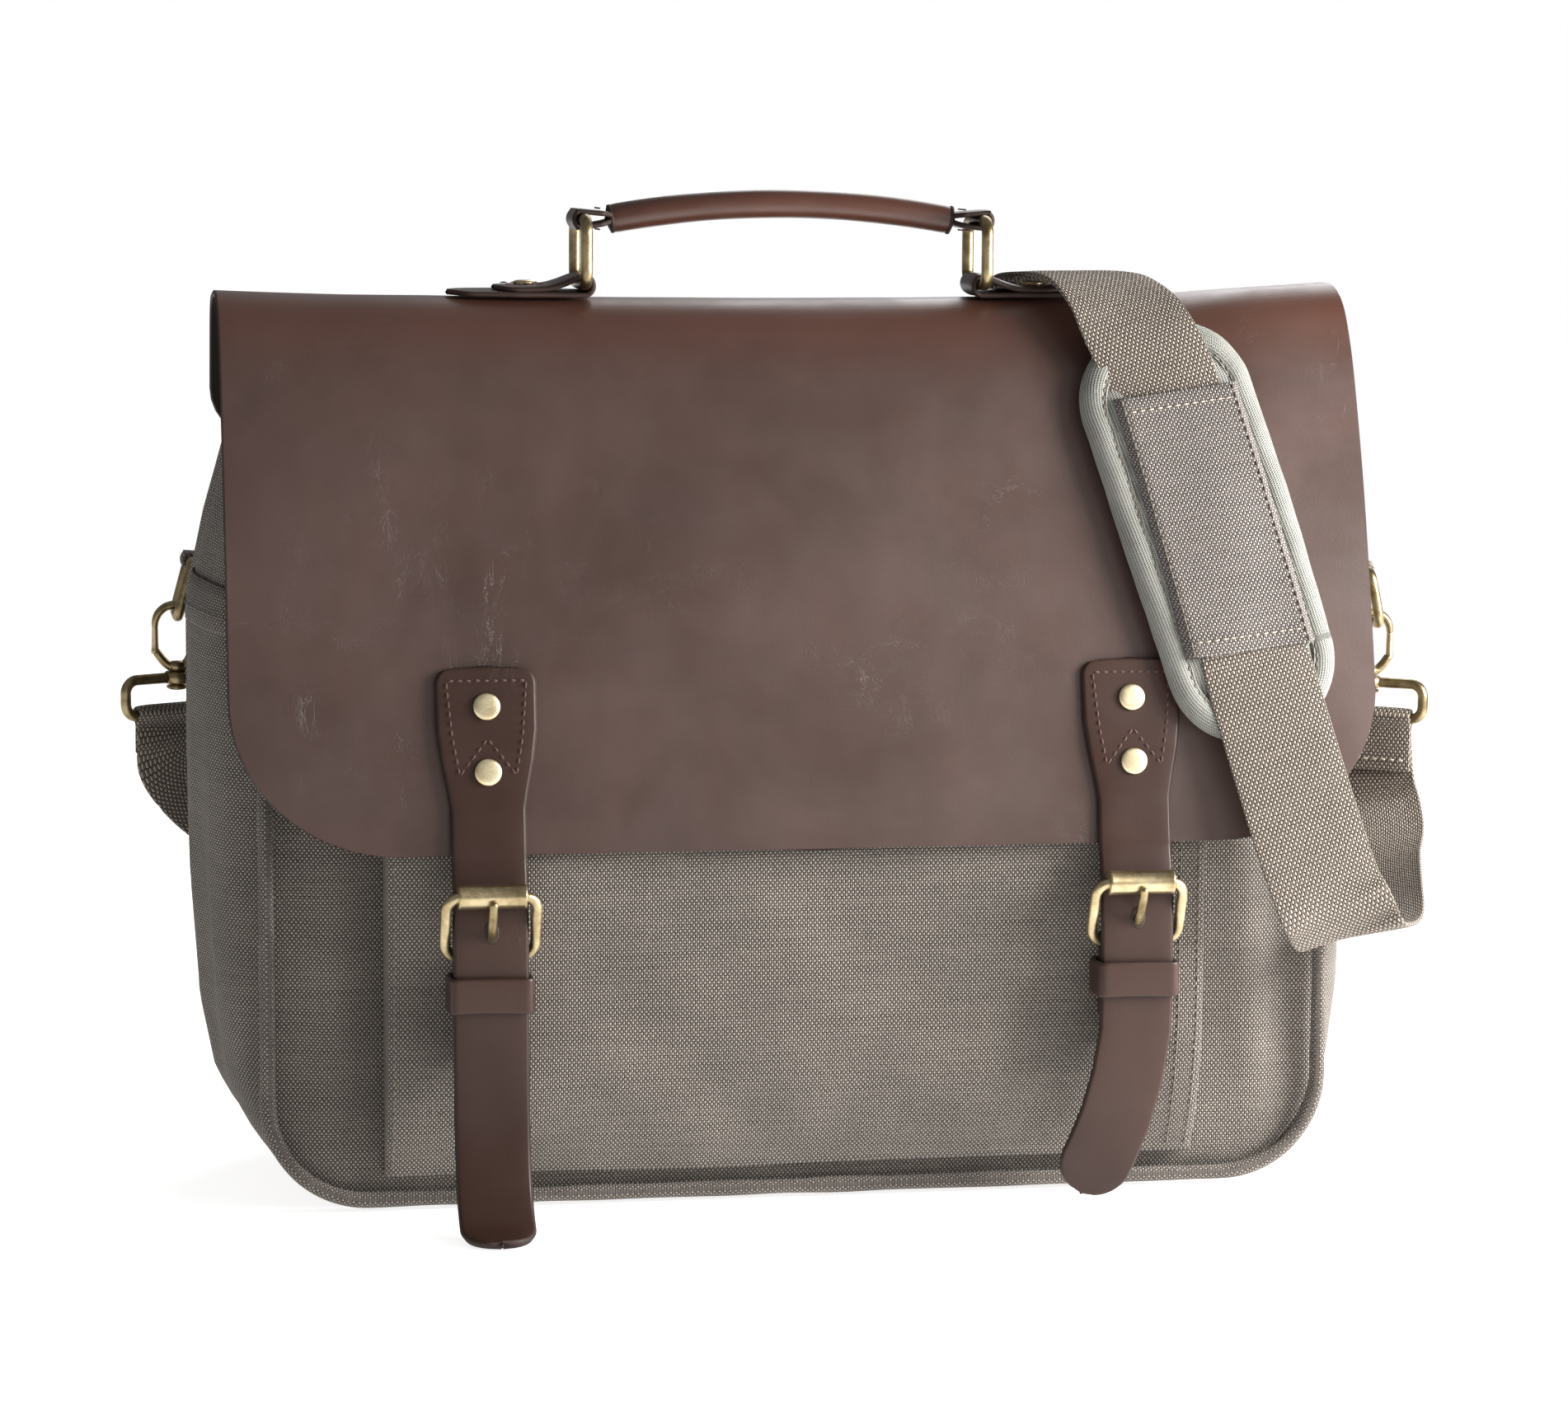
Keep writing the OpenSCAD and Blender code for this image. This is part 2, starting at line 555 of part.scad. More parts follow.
// ---- side clips ----
module side_ring(side) {
    color(brass) translate((ring_top(side) + ring_low(side)) / 2)
        rotate([0, 90 - side * ring_tilt(side), 0])
            wire_ring(ring_drop / 2, side_ring_half_y, 4, clip_wire_r);
}
module stadium(r, half_h) {
    translate([0, half_h]) circle(r = r);
    translate([0, -half_h]) circle(r = r);
    translate([-r, -half_h]) square([2 * r, 2 * half_h]);
}
gate_pin = [7.7, -5];
module hook(side) {
    color(brass) translate(jaw_mid(side)) mirror([side < 0 ? 1 : 0, 0, 0]) {
        difference() {
            translate([0, jaw_t / 2, 0]) rotate([90, 0, 0]) linear_extrude(jaw_t) difference() {
                stadium(jaw_out_r, jaw_half_h);
                stadium(jaw_in_r, jaw_half_h);
            }
            box([4.5, -jaw_t, -3.1], [11, jaw_t, 4.6]);
            box([4.5, -1.5, -7.4], [11, 1.5, 0]);
        }
        rod_y(-jaw_t / 2, jaw_t / 2, gate_pin[0], gate_pin[1], 0.8);
        translate([0, 0, -17.4]) cylinder(h = 6.2, r = 2.2);
        translate([0, 0, -18.6]) cylinder(h = 1.5, r = 3.8);
    }
}
module hook_gate(side) {
    color(brass) translate(jaw_mid(side)) mirror([side < 0 ? 1 : 0, 0, 0]) difference() {
        union() {
            rod_y(-1.2, 1.2, gate_pin[0], gate_pin[1], 1.7);
            box([6.6, -1.2, gate_pin[1]], [8.8, 1.2, 4.3]);
        }
        rod_y(-2, 2, gate_pin[0], gate_pin[1], 0.9);
    }
}
module strap_loop(side) {
    color(brass) translate(swivel(side)) rotate([0, 0, -side * loop_yaw(side)]) difference() {
        union() {
            translate([0, 0, -loop_drop / 2]) rotate([90, 0, 0])
                wire_ring(loop_half_w, loop_drop / 2, 4, clip_wire_r);
            translate([0, 0, -1.8]) cylinder(h = 3.6, r = boss_r);
        }
        translate([0, 0, -3]) cylinder(h = 6, r = 2.5);
    }
}
fold_r = clip_wire_r + gap + web_t;
fold_half_w = loop_half_w - 4.6;
module strap_end(side) {
    color(webbing) difference() {
        union() {
            translate(swivel(side)) rotate([0, 0, -side * loop_yaw(side)]) {
                rod_x(-fold_half_w, fold_half_w, 0, -loop_drop, fold_r);
                if (side > 0)
                    box([-fold_half_w, -web_t, turned_end_z - swivel(side)[2]],
                        [fold_half_w, web_t, -loop_drop]);
            }
            if (side < 0)
                ribbon(left_end_route, 2 * fold_half_w, 2 * web_t, 1);
        }
        translate(swivel(side)) rotate([0, 0, -side * loop_yaw(side)])
            rod_x(-loop_half_w, loop_half_w, 0, -loop_drop, clip_wire_r + gap);
    }
}

// ---- shoulder strap ----
module strap_back_run() { color(webbing) ribbon(back_route, web_w, web_t, 3); }
module strap_ridge_run() { color(webbing) ribbon(ridge_route, web_w, web_t, 3); }
module strap_lower_run() { color(webbing) ribbon(lower_route, web_w, web_t, 3); }
module strap_front_run() {
    color(webbing) intersection() {
        along_x(60, 230, band(run_path, -web_t));
        along_y(-120, 0, concat(run_left, rev(run_right)));
    }
}
module shoulder_pad() {
    back = [[-27.8, 302], [-36.2, 281], [-49, 245], [-61.2, 205], [-72, 160]];
    color(canvas) difference() {
        intersection() {
            along_x(60, 230, concat(back, rev(beside(run_path, 0.2))));
            along_y(-120, 0, concat(pad_left, pad_right));
        }
        box([90, -76, 150], [129.5, -50, 189]);
    }
}
sleeve_outline = [[111, 277.5], [131.6, 190], [172.6, 194.5], [150.5, 283]];
module pad_sleeve() {
    color(canvas) intersection() {
        along_x(60, 230, band(run_path, -1, -web_t - 0.2));
        along_y(-120, 0, sleeve_outline);
    }
}
module strap_slider() {
    color(brass) translate([77.5, 47.15, 244.1]) rotate([6.4, 13.3, 6.1]) difference() {
        box([-23, -3.2, -11], [23, 3.2, 11]);
        box([-20.4, -1.7, -12], [20.4, 1.7, 12]);
        for (s = [-1, 1]) box([-20.4, -4, s * 5.2 - 3], [20.4, 4, s * 5.2 + 3]);
    }
}

back_panel();
front_panel();
gusset(-1);  // gusset_left
gusset(1);  // gusset_right
base_panel();
base_board();
lining();
laptop_divider();
front_pocket();
front_piping();
back_piping();
flap_yoke();
snap_socket(-1);  // snap_socket_left
snap_socket(1);  // snap_socket_right
ring_anchor(-1);  // ring_anchor_left
ring_anchor(1);  // ring_anchor_right
flap();
buckle_strap(-1);  // buckle_strap_left
buckle_strap(1);  // buckle_strap_right
strap_rivets(-1);  // strap_rivets_left
strap_rivets(1);  // strap_rivets_right
chape(-1);  // chape_left
chape(1);  // chape_right
buckle(-1);  // buckle_left
buckle(1);  // buckle_right
roller(-1);  // roller_left
roller(1);  // roller_right
prong(-1);  // prong_left
prong(1);  // prong_right
keeper(-1);  // keeper_left
keeper(1);  // keeper_right
snap_stud(-1);  // snap_stud_left
snap_stud(1);  // snap_stud_right
handle_tab(-1);  // handle_tab_left
handle_tab(1);  // handle_tab_right
tab_rivets();
handle_ring(-1);  // handle_ring_left
handle_ring(1);  // handle_ring_right
handle_strap();
handle_grip();
side_ring(-1);  // side_ring_left
side_ring(1);  // side_ring_right
hook(-1);  // hook_left
hook(1);  // hook_right
hook_gate(-1);  // hook_gate_left
hook_gate(1);  // hook_gate_right
strap_loop(-1);  // strap_loop_left
strap_loop(1);  // strap_loop_right
strap_end(-1);  // strap_end_left
strap_end(1);  // strap_end_right
strap_back_run();
strap_ridge_run();
strap_front_run();
strap_lower_run();
strap_slider();
shoulder_pad();
pad_sleeve();
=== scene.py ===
"""Looks for the canvas satchel.

Lengths in the tables are millimetres in the part's own frame; meshes are in metres.
"""
import math

import bpy
import numpy as np
from mathutils import Matrix, Vector


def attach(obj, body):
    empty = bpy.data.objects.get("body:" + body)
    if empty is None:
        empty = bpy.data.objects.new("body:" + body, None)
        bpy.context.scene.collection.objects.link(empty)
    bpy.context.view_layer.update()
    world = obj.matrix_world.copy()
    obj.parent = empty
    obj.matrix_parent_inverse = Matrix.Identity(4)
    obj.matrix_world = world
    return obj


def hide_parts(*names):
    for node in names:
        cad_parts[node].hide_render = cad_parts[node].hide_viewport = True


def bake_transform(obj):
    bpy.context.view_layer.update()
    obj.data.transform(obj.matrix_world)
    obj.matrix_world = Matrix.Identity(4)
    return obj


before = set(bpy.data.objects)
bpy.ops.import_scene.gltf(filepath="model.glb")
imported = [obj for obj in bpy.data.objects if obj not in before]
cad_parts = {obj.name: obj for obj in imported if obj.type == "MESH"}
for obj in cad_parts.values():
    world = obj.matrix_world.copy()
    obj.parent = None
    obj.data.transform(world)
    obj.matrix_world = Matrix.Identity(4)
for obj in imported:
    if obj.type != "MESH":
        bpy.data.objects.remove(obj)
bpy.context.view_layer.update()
MM = 0.001
scene = bpy.context.scene
A = np.array


# ------------------------------------------------------------------ camera, light, floor
def make_camera(place, yaw, pitch, roll, lens):
    """yaw is towards +X from +Y, pitch is up; both in degrees. place is in millimetres."""
    y, p = math.radians(yaw), math.radians(pitch)
    look = Vector((math.sin(y) * math.cos(p), math.cos(y) * math.cos(p), math.sin(p)))
    right = Vector((math.cos(y), -math.sin(y), 0))
    up = right.cross(look)
    r = math.radians(roll)
    right, up = right * math.cos(r) + up * math.sin(r), up * math.cos(r) - right * math.sin(r)
    data = bpy.data.cameras.new("camera")
    data.lens, data.sensor_width, data.clip_start, data.clip_end = lens, 36, 0.1, 30
    cam = bpy.data.objects.new("camera", data)
    m = Matrix((right, up, -look)).transposed().to_4x4()
    m.translation = Vector(place) * MM
    cam.matrix_world = m
    scene.collection.objects.link(cam)
    scene.camera = cam


def area_light(name, place, target, size, power, tint=(1, 1, 1)):
    data = bpy.data.lights.new(name, "AREA")
    data.shape, data.size, data.energy, data.color = "DISK", size, power, tint
    o = bpy.data.objects.new(name, data)
    o.location = place
    o.rotation_euler = (Vector(target) - Vector(place)).to_track_quat("-Z", "Y").to_euler()
    scene.collection.objects.link(o)


make_camera((-277.8, -1575.7, 370), 10.082, -7.329, 0.409, 103.73)
area_light("key", (0.9, -1.1, 0.62), (0.05, 0, 0.15), 0.7, 3.4, (1, 0.99, 0.97))
area_light("side", (0.66, -0.30, 0.35), (0.0, -0.03, 0.14), 0.4, 15.5, (1, 0.985, 0.96))
area_light("back", (0.5, 0.9, 0.9), (0, 0, 0.2), 0.9, 6)
world = bpy.data.worlds.new("studio")
world.use_nodes = True
wt = world.node_tree
soft, plain = wt.nodes["Background"], wt.nodes.new("ShaderNodeBackground")
seen, blend = wt.nodes.new("ShaderNodeLightPath"), wt.nodes.new("ShaderNodeMixShader")
soft.inputs["Color"].default_value, soft.inputs["Strength"].default_value = (1, 1, 1, 1), 0.27
plain.inputs["Color"].default_value, plain.inputs["Strength"].default_value = (1, 1, 1, 1), 1.0
wt.links.new(seen.outputs["Is Camera Ray"], blend.inputs[0])
wt.links.new(soft.outputs[0], blend.inputs[1])
wt.links.new(plain.outputs[0], blend.inputs[2])
wt.links.new(blend.outputs[0], wt.nodes["World Output"].inputs[0])
scene.world = world
scene.view_settings.view_transform = "Standard"


# ------------------------------------------------------------------ materials
def srgb(r, g, b):
    linear = [c / 255 / 12.92 if c <= 10 else ((c / 255 + 0.055) / 1.055) ** 2.4 for c in (r, g, b)]
    return tuple(linear) + (1,)


class Nodes:
    """Short calls for building a node tree."""

    def __init__(self, name, **shader):
        self.mat = bpy.data.materials.new(name)
        self.mat.use_nodes = True
        self.tree = self.mat.node_tree
        self.tree.nodes.clear()
        self.out = self.tree.nodes.new("ShaderNodeOutputMaterial")
        self.bsdf = self.tree.nodes.new("ShaderNodeBsdfPrincipled")
        self.tree.links.new(self.bsdf.outputs[0], self.out.inputs[0])
        for key, value in shader.items():
            self.bsdf.inputs[key.replace("_", " ")].default_value = value

    def put(self, socket, value):
        if isinstance(value, bpy.types.NodeSocket):
            self.tree.links.new(value, socket)
        elif value is not None:
            if hasattr(socket.default_value, "__len__") and not hasattr(value, "__len__"):
                value = [value] * len(socket.default_value)
            socket.default_value = value

    def math(self, op, a, b=None, c=None, clamp=False):
        n = self.tree.nodes.new("ShaderNodeMath")
        n.operation, n.use_clamp = op, clamp
        for s, v in zip(n.inputs, (a, b, c)):
            self.put(s, v)
        return n.outputs[0]

    def vec(self, op, a, b=None):
        n = self.tree.nodes.new("ShaderNodeVectorMath")
        n.operation = op
        self.put(n.inputs[0], a)
        if op == "SCALE":
            self.put(n.inputs["Scale"], b)
        else:
            self.put(n.inputs[1], b)
        return n.outputs[0]

    def join(self, x, y, z=0.0):
        n = self.tree.nodes.new("ShaderNodeCombineXYZ")
        for s, v in zip(n.inputs, (x, y, z)):
            self.put(s, v)
        return n.outputs[0]

    def split(self, v):
        n = self.tree.nodes.new("ShaderNodeSeparateXYZ")
        self.put(n.inputs[0], v)
        return n.outputs

    def mix(self, t, a, b, kind="RGBA", blend="MIX"):
        n = self.tree.nodes.new("ShaderNodeMix")
        n.data_type, n.blend_type = kind, blend
        ins = [s for s in n.inputs if s.type == ("RGBA" if kind == "RGBA" else "VALUE")]
        if kind == "RGBA":
            self.put(n.inputs[0], t)
            self.put(ins[0], a)
            self.put(ins[1], b)
            return [s for s in n.outputs if s.type == "RGBA"][0]
        self.put(n.inputs[0], t)
        self.put(n.inputs[2], a)
        self.put(n.inputs[3], b)
        return n.outputs[0]

    def noise(self, coord, scale, detail=3.0, rough=0.5, distort=0.0):
        n = self.tree.nodes.new("ShaderNodeTexNoise")
        self.put(n.inputs["Vector"], coord)
        for k, v in (("Scale", scale), ("Detail", detail), ("Roughness", rough), ("Distortion", distort)):
            self.put(n.inputs[k], v)
        return n.outputs[0]

    def cells(self, coord, scale, feature="F1"):
        n = self.tree.nodes.new("ShaderNodeTexVoronoi")
        n.feature = feature
        self.put(n.inputs["Vector"], coord)
        self.put(n.inputs["Scale"], scale)
        return n.outputs[0]

    def ramp(self, v, lo, hi, a=0.0, b=1.0):
        n = self.tree.nodes.new("ShaderNodeMapRange")
        n.interpolation_type = "SMOOTHSTEP"
        for s, x in zip(n.inputs, (v, lo, hi, a, b)):
            self.put(s, x)
        return n.outputs[0]

    def place(self):
        """Object coordinates in millimetres."""
        n = self.tree.nodes.new("ShaderNodeTexCoord")
        return self.vec("SCALE", n.outputs["Object"], 1000.0)

    def flat(self):
        """Where a point lies on the flat cloth or hide, in millimetres."""
        n = self.tree.nodes.new("ShaderNodeAttribute")
        n.attribute_name = "flat"
        return n.outputs["Vector"]

    def bump(self, height, distance, strength=1.0, under=None):
        n = self.tree.nodes.new("ShaderNodeBump")
        self.put(n.inputs["Height"], height)
        self.put(n.inputs["Distance"], distance)
        self.put(n.inputs["Strength"], strength)
        self.put(n.inputs["Normal"], under)
        return n.outputs[0]

    def done(self, color=None, rough=None, normal=None):
        self.put(self.bsdf.inputs["Base Color"], color)
        self.put(self.bsdf.inputs["Roughness"], rough)
        self.put(self.bsdf.inputs["Normal"], normal)
        return self.mat


def weave(n, flat, pitch_u, pitch_v, wobble=0.12):
    """A plain weave on the flat cloth. Returns (height 0 to 1, 1 where the warp is on top, thread shade)."""
    loose = n.noise(flat, 0.35 / pitch_u, 2.0)
    x, y, _ = n.split(flat)
    push = n.math("MULTIPLY", n.math("SUBTRACT", loose, 0.5), wobble * 4)
    u = n.math("ADD", n.math("DIVIDE", x, pitch_u), push)
    v = n.math("ADD", n.math("DIVIDE", y, pitch_v), push)
    wave = n.math("MULTIPLY", n.math("SINE", n.math("MULTIPLY", u, math.pi)),
                  n.math("SINE", n.math("MULTIPLY", v, math.pi)))
    height = n.math("POWER", n.math("ABSOLUTE", wave), 0.6)
    over = n.ramp(wave, -0.15, 0.15)
    warp = n.noise(n.join(n.math("FLOOR", u), n.math("MULTIPLY", y, 0.03)), 0.9, 2.0)
    weft = n.noise(n.join(n.math("MULTIPLY", x, 0.03), n.math("FLOOR", v), 7.0), 0.9, 2.0)
    shade = n.mix(over, weft, warp, "FLOAT")
    return height, over, shade


def cloth(name, light, dark, gap, pitch, depth, faded=0.35, tone=(0.78, 1.18)):
    """Coarse woven cloth: light warp over a darker weft, painted shade between the threads, faded in patches.
    """
    n = Nodes(name, Sheen_Weight=0.12, Sheen_Roughness=0.5, Specular_IOR_Level=0.25)
    flat = n.flat()
    height, over, shade = weave(n, flat, *pitch)
    patch = n.noise(flat, 0.018, 4.0, 0.6)
    thread = n.mix(over, srgb(*dark), srgb(*light))
    thread = n.mix(n.ramp(shade, 0.25, 0.75, 0.0, faded), thread,
                   srgb(*[min(255, c * 1.35) for c in light]))
    # painted shade: where the weave lies low between the threads its colour goes to the dark gap colour
    color = n.mix(n.ramp(height, 0.12, 0.62), srgb(*gap), thread)
    worn = n.ramp(patch, 0.3, 0.7, *tone)
    color = n.mix(1.0, color, n.join(worn, worn, worn), blend="MULTIPLY")
    fibre = n.noise(n.place(), 3.5, 3.0, 0.7)
    lift = n.math("ADD", height, n.math("MULTIPLY", fibre, 0.25))
    return n.done(color, n.ramp(fibre, 0.2, 0.8, 0.78, 0.95), n.bump(lift, depth * MM, 0.9))


def leather(name, low, high, rough=(0.36, 0.5), crease=0.0, grain=0.05, painted_fold_light=None, coat=0.12,
            spec=0.45):
    """Smooth coated leather with a fine grain, cloudy colour and, on large pieces, clusters of creases."""
    n = Nodes(name, Coat_Weight=coat, Coat_Roughness=0.35, Specular_IOR_Level=spec)
    p = n.place()
    cloud = n.noise(p, 0.011, 4.0, 0.6, 0.6)
    streak = n.noise(n.vec("MULTIPLY", p, (1.0, 1.0, 0.35)), 0.06, 3.0, 0.6)
    color = n.mix(n.ramp(cloud, 0.32, 0.68), srgb(*low), srgb(*high))
    color = n.mix(n.ramp(streak, 0.35, 0.75, 0.0, 0.22), color, srgb(*[c * 0.86 for c in low]))
    # painted light: the top of the flap, where it turns over the fold, is tinted rust to stand in for the
    # weaker reflection there
    if painted_fold_light:
        z = n.split(p)[2]
        color = n.mix(n.ramp(z, 280.0, 318.0, 0.0, 0.75), color, srgb(*painted_fold_light))
    fine = n.noise(p, 1.6, 4.0, 0.65)
    pores = n.cells(p, 1.1)
    height = n.math("ADD", n.math("MULTIPLY", fine, 0.6), n.math("MULTIPLY", pores, 0.5))
    normal = n.bump(height, grain * MM, 0.5)
    shine = n.ramp(n.noise(p, 0.03, 3.0, 0.6), 0.3, 0.7, *rough)
    if crease:
        total = None
        for k, (turn, size, seed) in enumerate((((0.9, 0.5, 0.5), 0.11, 3.0),
                                                ((0.5, 0.9, 0.95), 0.13, 11.0))):
            q = n.vec("ADD", n.vec("MULTIPLY", p, turn), (seed * 17.0, seed, seed * 5.0))
            web = n.noise(q, size, 5.0, 0.7, 1.4)
            thin = n.ramp(n.math("ABSOLUTE", n.math("SUBTRACT", web, 0.5)), 0.0, 0.02, 1.0, 0.0)
            spread = n.ramp(n.noise(n.vec("ADD", q, (70.0 * k, 5.0, 30.0)), 0.02, 4.0, 0.75), 0.54, 0.7)
            part = n.math("MULTIPLY", thin, spread)
            total = part if total is None else n.math("ADD", total, part, clamp=True)
        normal = n.bump(n.math("MULTIPLY", total, -1.0), crease * MM, 0.6, normal)
        # painted shade: the crease lines are coloured darker than the leather round them
        color = n.mix(n.math("MULTIPLY", total, 0.22), color, srgb(*[c * 0.6 for c in low]))
        speck = n.ramp(n.cells(p, 0.028), 0.0, 0.01, 1.0, 0.0)
        color = n.mix(n.math("MULTIPLY", speck, 0.4), color, srgb(150, 125, 112))
    return n.done(color, shine, normal)


def metal(name, light, dark, rough=0.3):
    """Satin antique brass, brushed, darker where fingers don't rub it."""
    n = Nodes(name, Metallic=1.0, Anisotropic=0.3)
    p = n.place()
    brush = n.noise(n.vec("MULTIPLY", p, (0.6, 3.0, 3.0)), 1.4, 4.0, 0.7)
    age = n.noise(p, 0.12, 4.0, 0.65)
    color = n.mix(n.ramp(age, 0.35, 0.68), srgb(*light), srgb(*dark))
    color = n.mix(n.math("MULTIPLY", brush, 0.25), color, srgb(*[min(255, c * 1.12) for c in light]))
    return n.done(color, n.ramp(brush, 0.25, 0.8, rough - 0.07, rough + 0.1), n.bump(brush, 0.03 * MM, 0.4))


def yarn(name, color, dark):
    """Twisted thread."""
    n = Nodes(name, Sheen_Weight=0.2)
    p = n.place()
    twist = n.noise(p, 2.4, 2.0, 0.7)
    return n.done(n.mix(twist, srgb(*dark), srgb(*color)), n.ramp(twist, 0.2, 0.8, 0.6, 0.85),
                  n.bump(twist, 0.1 * MM, 0.6))


def mesh_cloth(name):
    """Grey twill mesh that binds the pad."""
    n = Nodes(name, Sheen_Weight=0.15, Specular_IOR_Level=0.3)
    x, y, _ = n.split(n.flat())
    diagonal = n.math("SINE", n.math("MULTIPLY", n.math("ADD", x, n.math("MULTIPLY", y, 0.8)),
                                     math.pi / 0.62))
    across = n.math("SINE", n.math("MULTIPLY", n.math("SUBTRACT", y, n.math("MULTIPLY", x, 0.25)),
                                   math.pi / 0.7))
    hole = n.math("MULTIPLY", diagonal, across)
    height = n.ramp(hole, -0.5, 0.5)
    # painted shade: the twill's holes are coloured dark
    color = n.mix(n.ramp(hole, -0.55, 0.2), srgb(48, 49, 45), srgb(144, 144, 137))
    patch = n.noise(n.place(), 0.08, 3.0)
    color = n.mix(n.ramp(patch, 0.3, 0.7, 0.0, 0.3), color, srgb(156, 155, 148))
    return n.done(color, n.ramp(patch, 0.2, 0.8, 0.5, 0.7), n.bump(height, 0.25 * MM, 0.8))


def floor_material():
    n = Nodes("floor", Specular_IOR_Level=0.1, Emission_Color=(1, 1, 1, 1), Emission_Strength=0.8)
    p = n.place()
    tone = n.noise(p, 0.004, 3.0)
    return n.done(n.mix(tone, srgb(228, 228, 227), srgb(234, 234, 234)), n.ramp(tone, 0.2, 0.8, 0.75, 0.9))


M = {
    "canvas": cloth("canvas_weave", (152, 143, 134), (74, 68, 62), (28, 24, 22), pitch=(0.78, 0.95),
                    depth=0.45, faded=0.1, tone=(0.86, 1.14)),
    "canvas_hem": cloth("canvas_hem_weave", (142, 133, 125), (76, 69, 63), (34, 29, 26), pitch=(0.78, 0.95),
                        depth=0.4, faded=0.1),
    "webbing": cloth("webbing_weave", (168, 156, 143), (84, 74, 65), (28, 24, 21), pitch=(0.85, 1.2),
                     depth=0.6, faded=0.06, tone=(0.92, 1.08)),
    "sleeve": cloth("sleeve_weave", (158, 149, 144), (73, 68, 64), (28, 25, 23), pitch=(0.8, 0.95),
                    depth=0.4, faded=0.1, tone=(0.92, 1.08)),
    # the flap's rust top fold is painted light, given here as its tint
    "flap": leather("flap_leather", (61, 44, 38), (74, 55, 50), crease=0.06, painted_fold_light=(84, 49, 36)),
    "strap": leather("strap_leather", (49, 31, 25), (59, 40, 33), rough=(0.36, 0.48), crease=0.05,
                     coat=0.08, spec=0.26),
    "grip": leather("grip_leather", (62, 35, 26), (76, 46, 35), rough=(0.3, 0.42), coat=0.2),
    "keeper": leather("keeper_leather", (50, 31, 25), (61, 40, 33), rough=(0.32, 0.44), coat=0.08,
                      spec=0.26),
    "edge": leather("cut_edge", (40, 27, 22), (54, 38, 32), rough=(0.55, 0.7), coat=0.0, spec=0.3),
    "dark_edge": leather("sealed_edge", (34, 22, 18), (45, 30, 25), rough=(0.4, 0.5), coat=0.1),
    "suede": leather("flap_backing", (40, 34, 31), (52, 45, 41), rough=(0.85, 0.95), grain=0.12, coat=0.0,
                     spec=0.2),
    "brass": metal("satin_brass", (196, 180, 144), (146, 128, 94), 0.33),
    "brass_pale": metal("rivet_brass", (224, 210, 176), (196, 180, 142), 0.4),
    "brass_dark": metal("aged_brass", (158, 142, 108), (98, 84, 58), 0.34),
    "thread_brown": yarn("brown_thread", (84, 44, 35), (50, 26, 20)),
    "thread_cream": yarn("cream_thread", (190, 180, 162), (140, 127, 110)),
    "thread_taupe": yarn("taupe_thread", (122, 110, 98), (80, 71, 62)),
    "mesh": mesh_cloth("pad_binding"),
    "lining": cloth("lining_cloth", (62, 56, 52), (44, 40, 38), (24, 22, 21), pitch=(0.45, 0.45),
                    depth=0.12, faded=0.1, tone=(0.9, 1.1)),
}


# ------------------------------------------------------------------ mesh helpers
def catmull(points, steps=12):
    p = A(points, float)
    out = []
    for i in range(len(p) - 1):
        a, b, c, d = p[max(i - 1, 0)], p[i], p[i + 1], p[min(i + 2, len(p) - 1)]
        for j in range(steps):
            t = j / steps
            out.append(0.5 * (2 * b + (c - a) * t + (2 * a - 5 * b + 4 * c - d) * t ** 2
                              + (3 * b - a - 3 * c + d) * t ** 3))
    return A(out + [p[-1]])


def lengths(p):
    return np.concatenate([[0], np.cumsum(np.linalg.norm(np.diff(p, axis=0), axis=1))])


def at(p, s):
    """Points at lengths s along the polyline p."""
    along = lengths(p)
    return np.stack([np.interp(s, along, p[:, k]) for k in range(p.shape[1])], 1)


def even(points, n, steps=12, smooth=True):
    p = catmull(points, steps) if smooth else A(points, float)
    return at(p, np.linspace(0, lengths(p)[-1], n))


def line(x, table):
    """Value at x of a broken line, given as a list of places and a list of values."""
    return np.interp(x, table[0], table[1])


def unit(v):
    return v / np.maximum(np.linalg.norm(v, axis=-1, keepdims=True), 1e-12)


def ripple(u, v, seed, size):
    """Smooth uneven waves, about 1 high, over two arrays of lengths; size is the usual wavelength."""
    r = np.random.default_rng(seed)
    total = np.zeros(np.broadcast(u, v).shape)
    for _ in range(9):
        angle = r.uniform(0, math.tau)
        phase = r.uniform(0, math.tau)
        k = math.tau / (size * r.uniform(0.7, 1.8))
        total += np.sin(k * (u * math.cos(angle) + v * math.sin(angle)) + phase)
    return total / 4


def build(name, verts, faces, mats, face_mats=None, flat=None):
    """A mesh object from vertices in millimetres."""
    me = bpy.data.meshes.new(name)
    me.from_pydata([tuple(float(x) * MM for x in v) for v in verts], [],
                   [tuple(int(i) for i in f) for f in faces])
    for m in mats:
        me.materials.append(M[m])
    if face_mats is not None:
        me.polygons.foreach_set("material_index", A(face_mats, np.int32))
    if flat is None:
        flat = A(verts, float)
    layer = me.attributes.new("flat", "FLOAT_VECTOR", "POINT")
    layer.data.foreach_set("vector", A(flat, np.float32).ravel())
    me.polygons.foreach_set("use_smooth", [True] * len(me.polygons))
    me.validate()
    me.update()
    o = bpy.data.objects.new(name, me)
    scene.collection.objects.link(o)
    return o


def grid_faces(rows, cols, start=0, flip=False, close_cols=False, close_rows=False):
    out = []
    for i in range(rows if close_rows else rows - 1):
        for j in range(cols if close_cols else cols - 1):
            a, b = start + i * cols + j, start + i * cols + (j + 1) % cols
            c, d = start + ((i + 1) % rows) * cols + (j + 1) % cols, start + ((i + 1) % rows) * cols + j
            out.append((a, d, c, b) if flip else (a, b, c, d))
    return out


def grid_normals(g):
    du = np.gradient(g, axis=1)
    dv = np.gradient(g, axis=0)
    return unit(np.cross(du, dv))


def mesh_points(me):
    """The points of a mesh in metres, one row each."""
    co = np.zeros(len(me.vertices) * 3)
    me.vertices.foreach_get("co", co)
    return co.reshape(-1, 3)


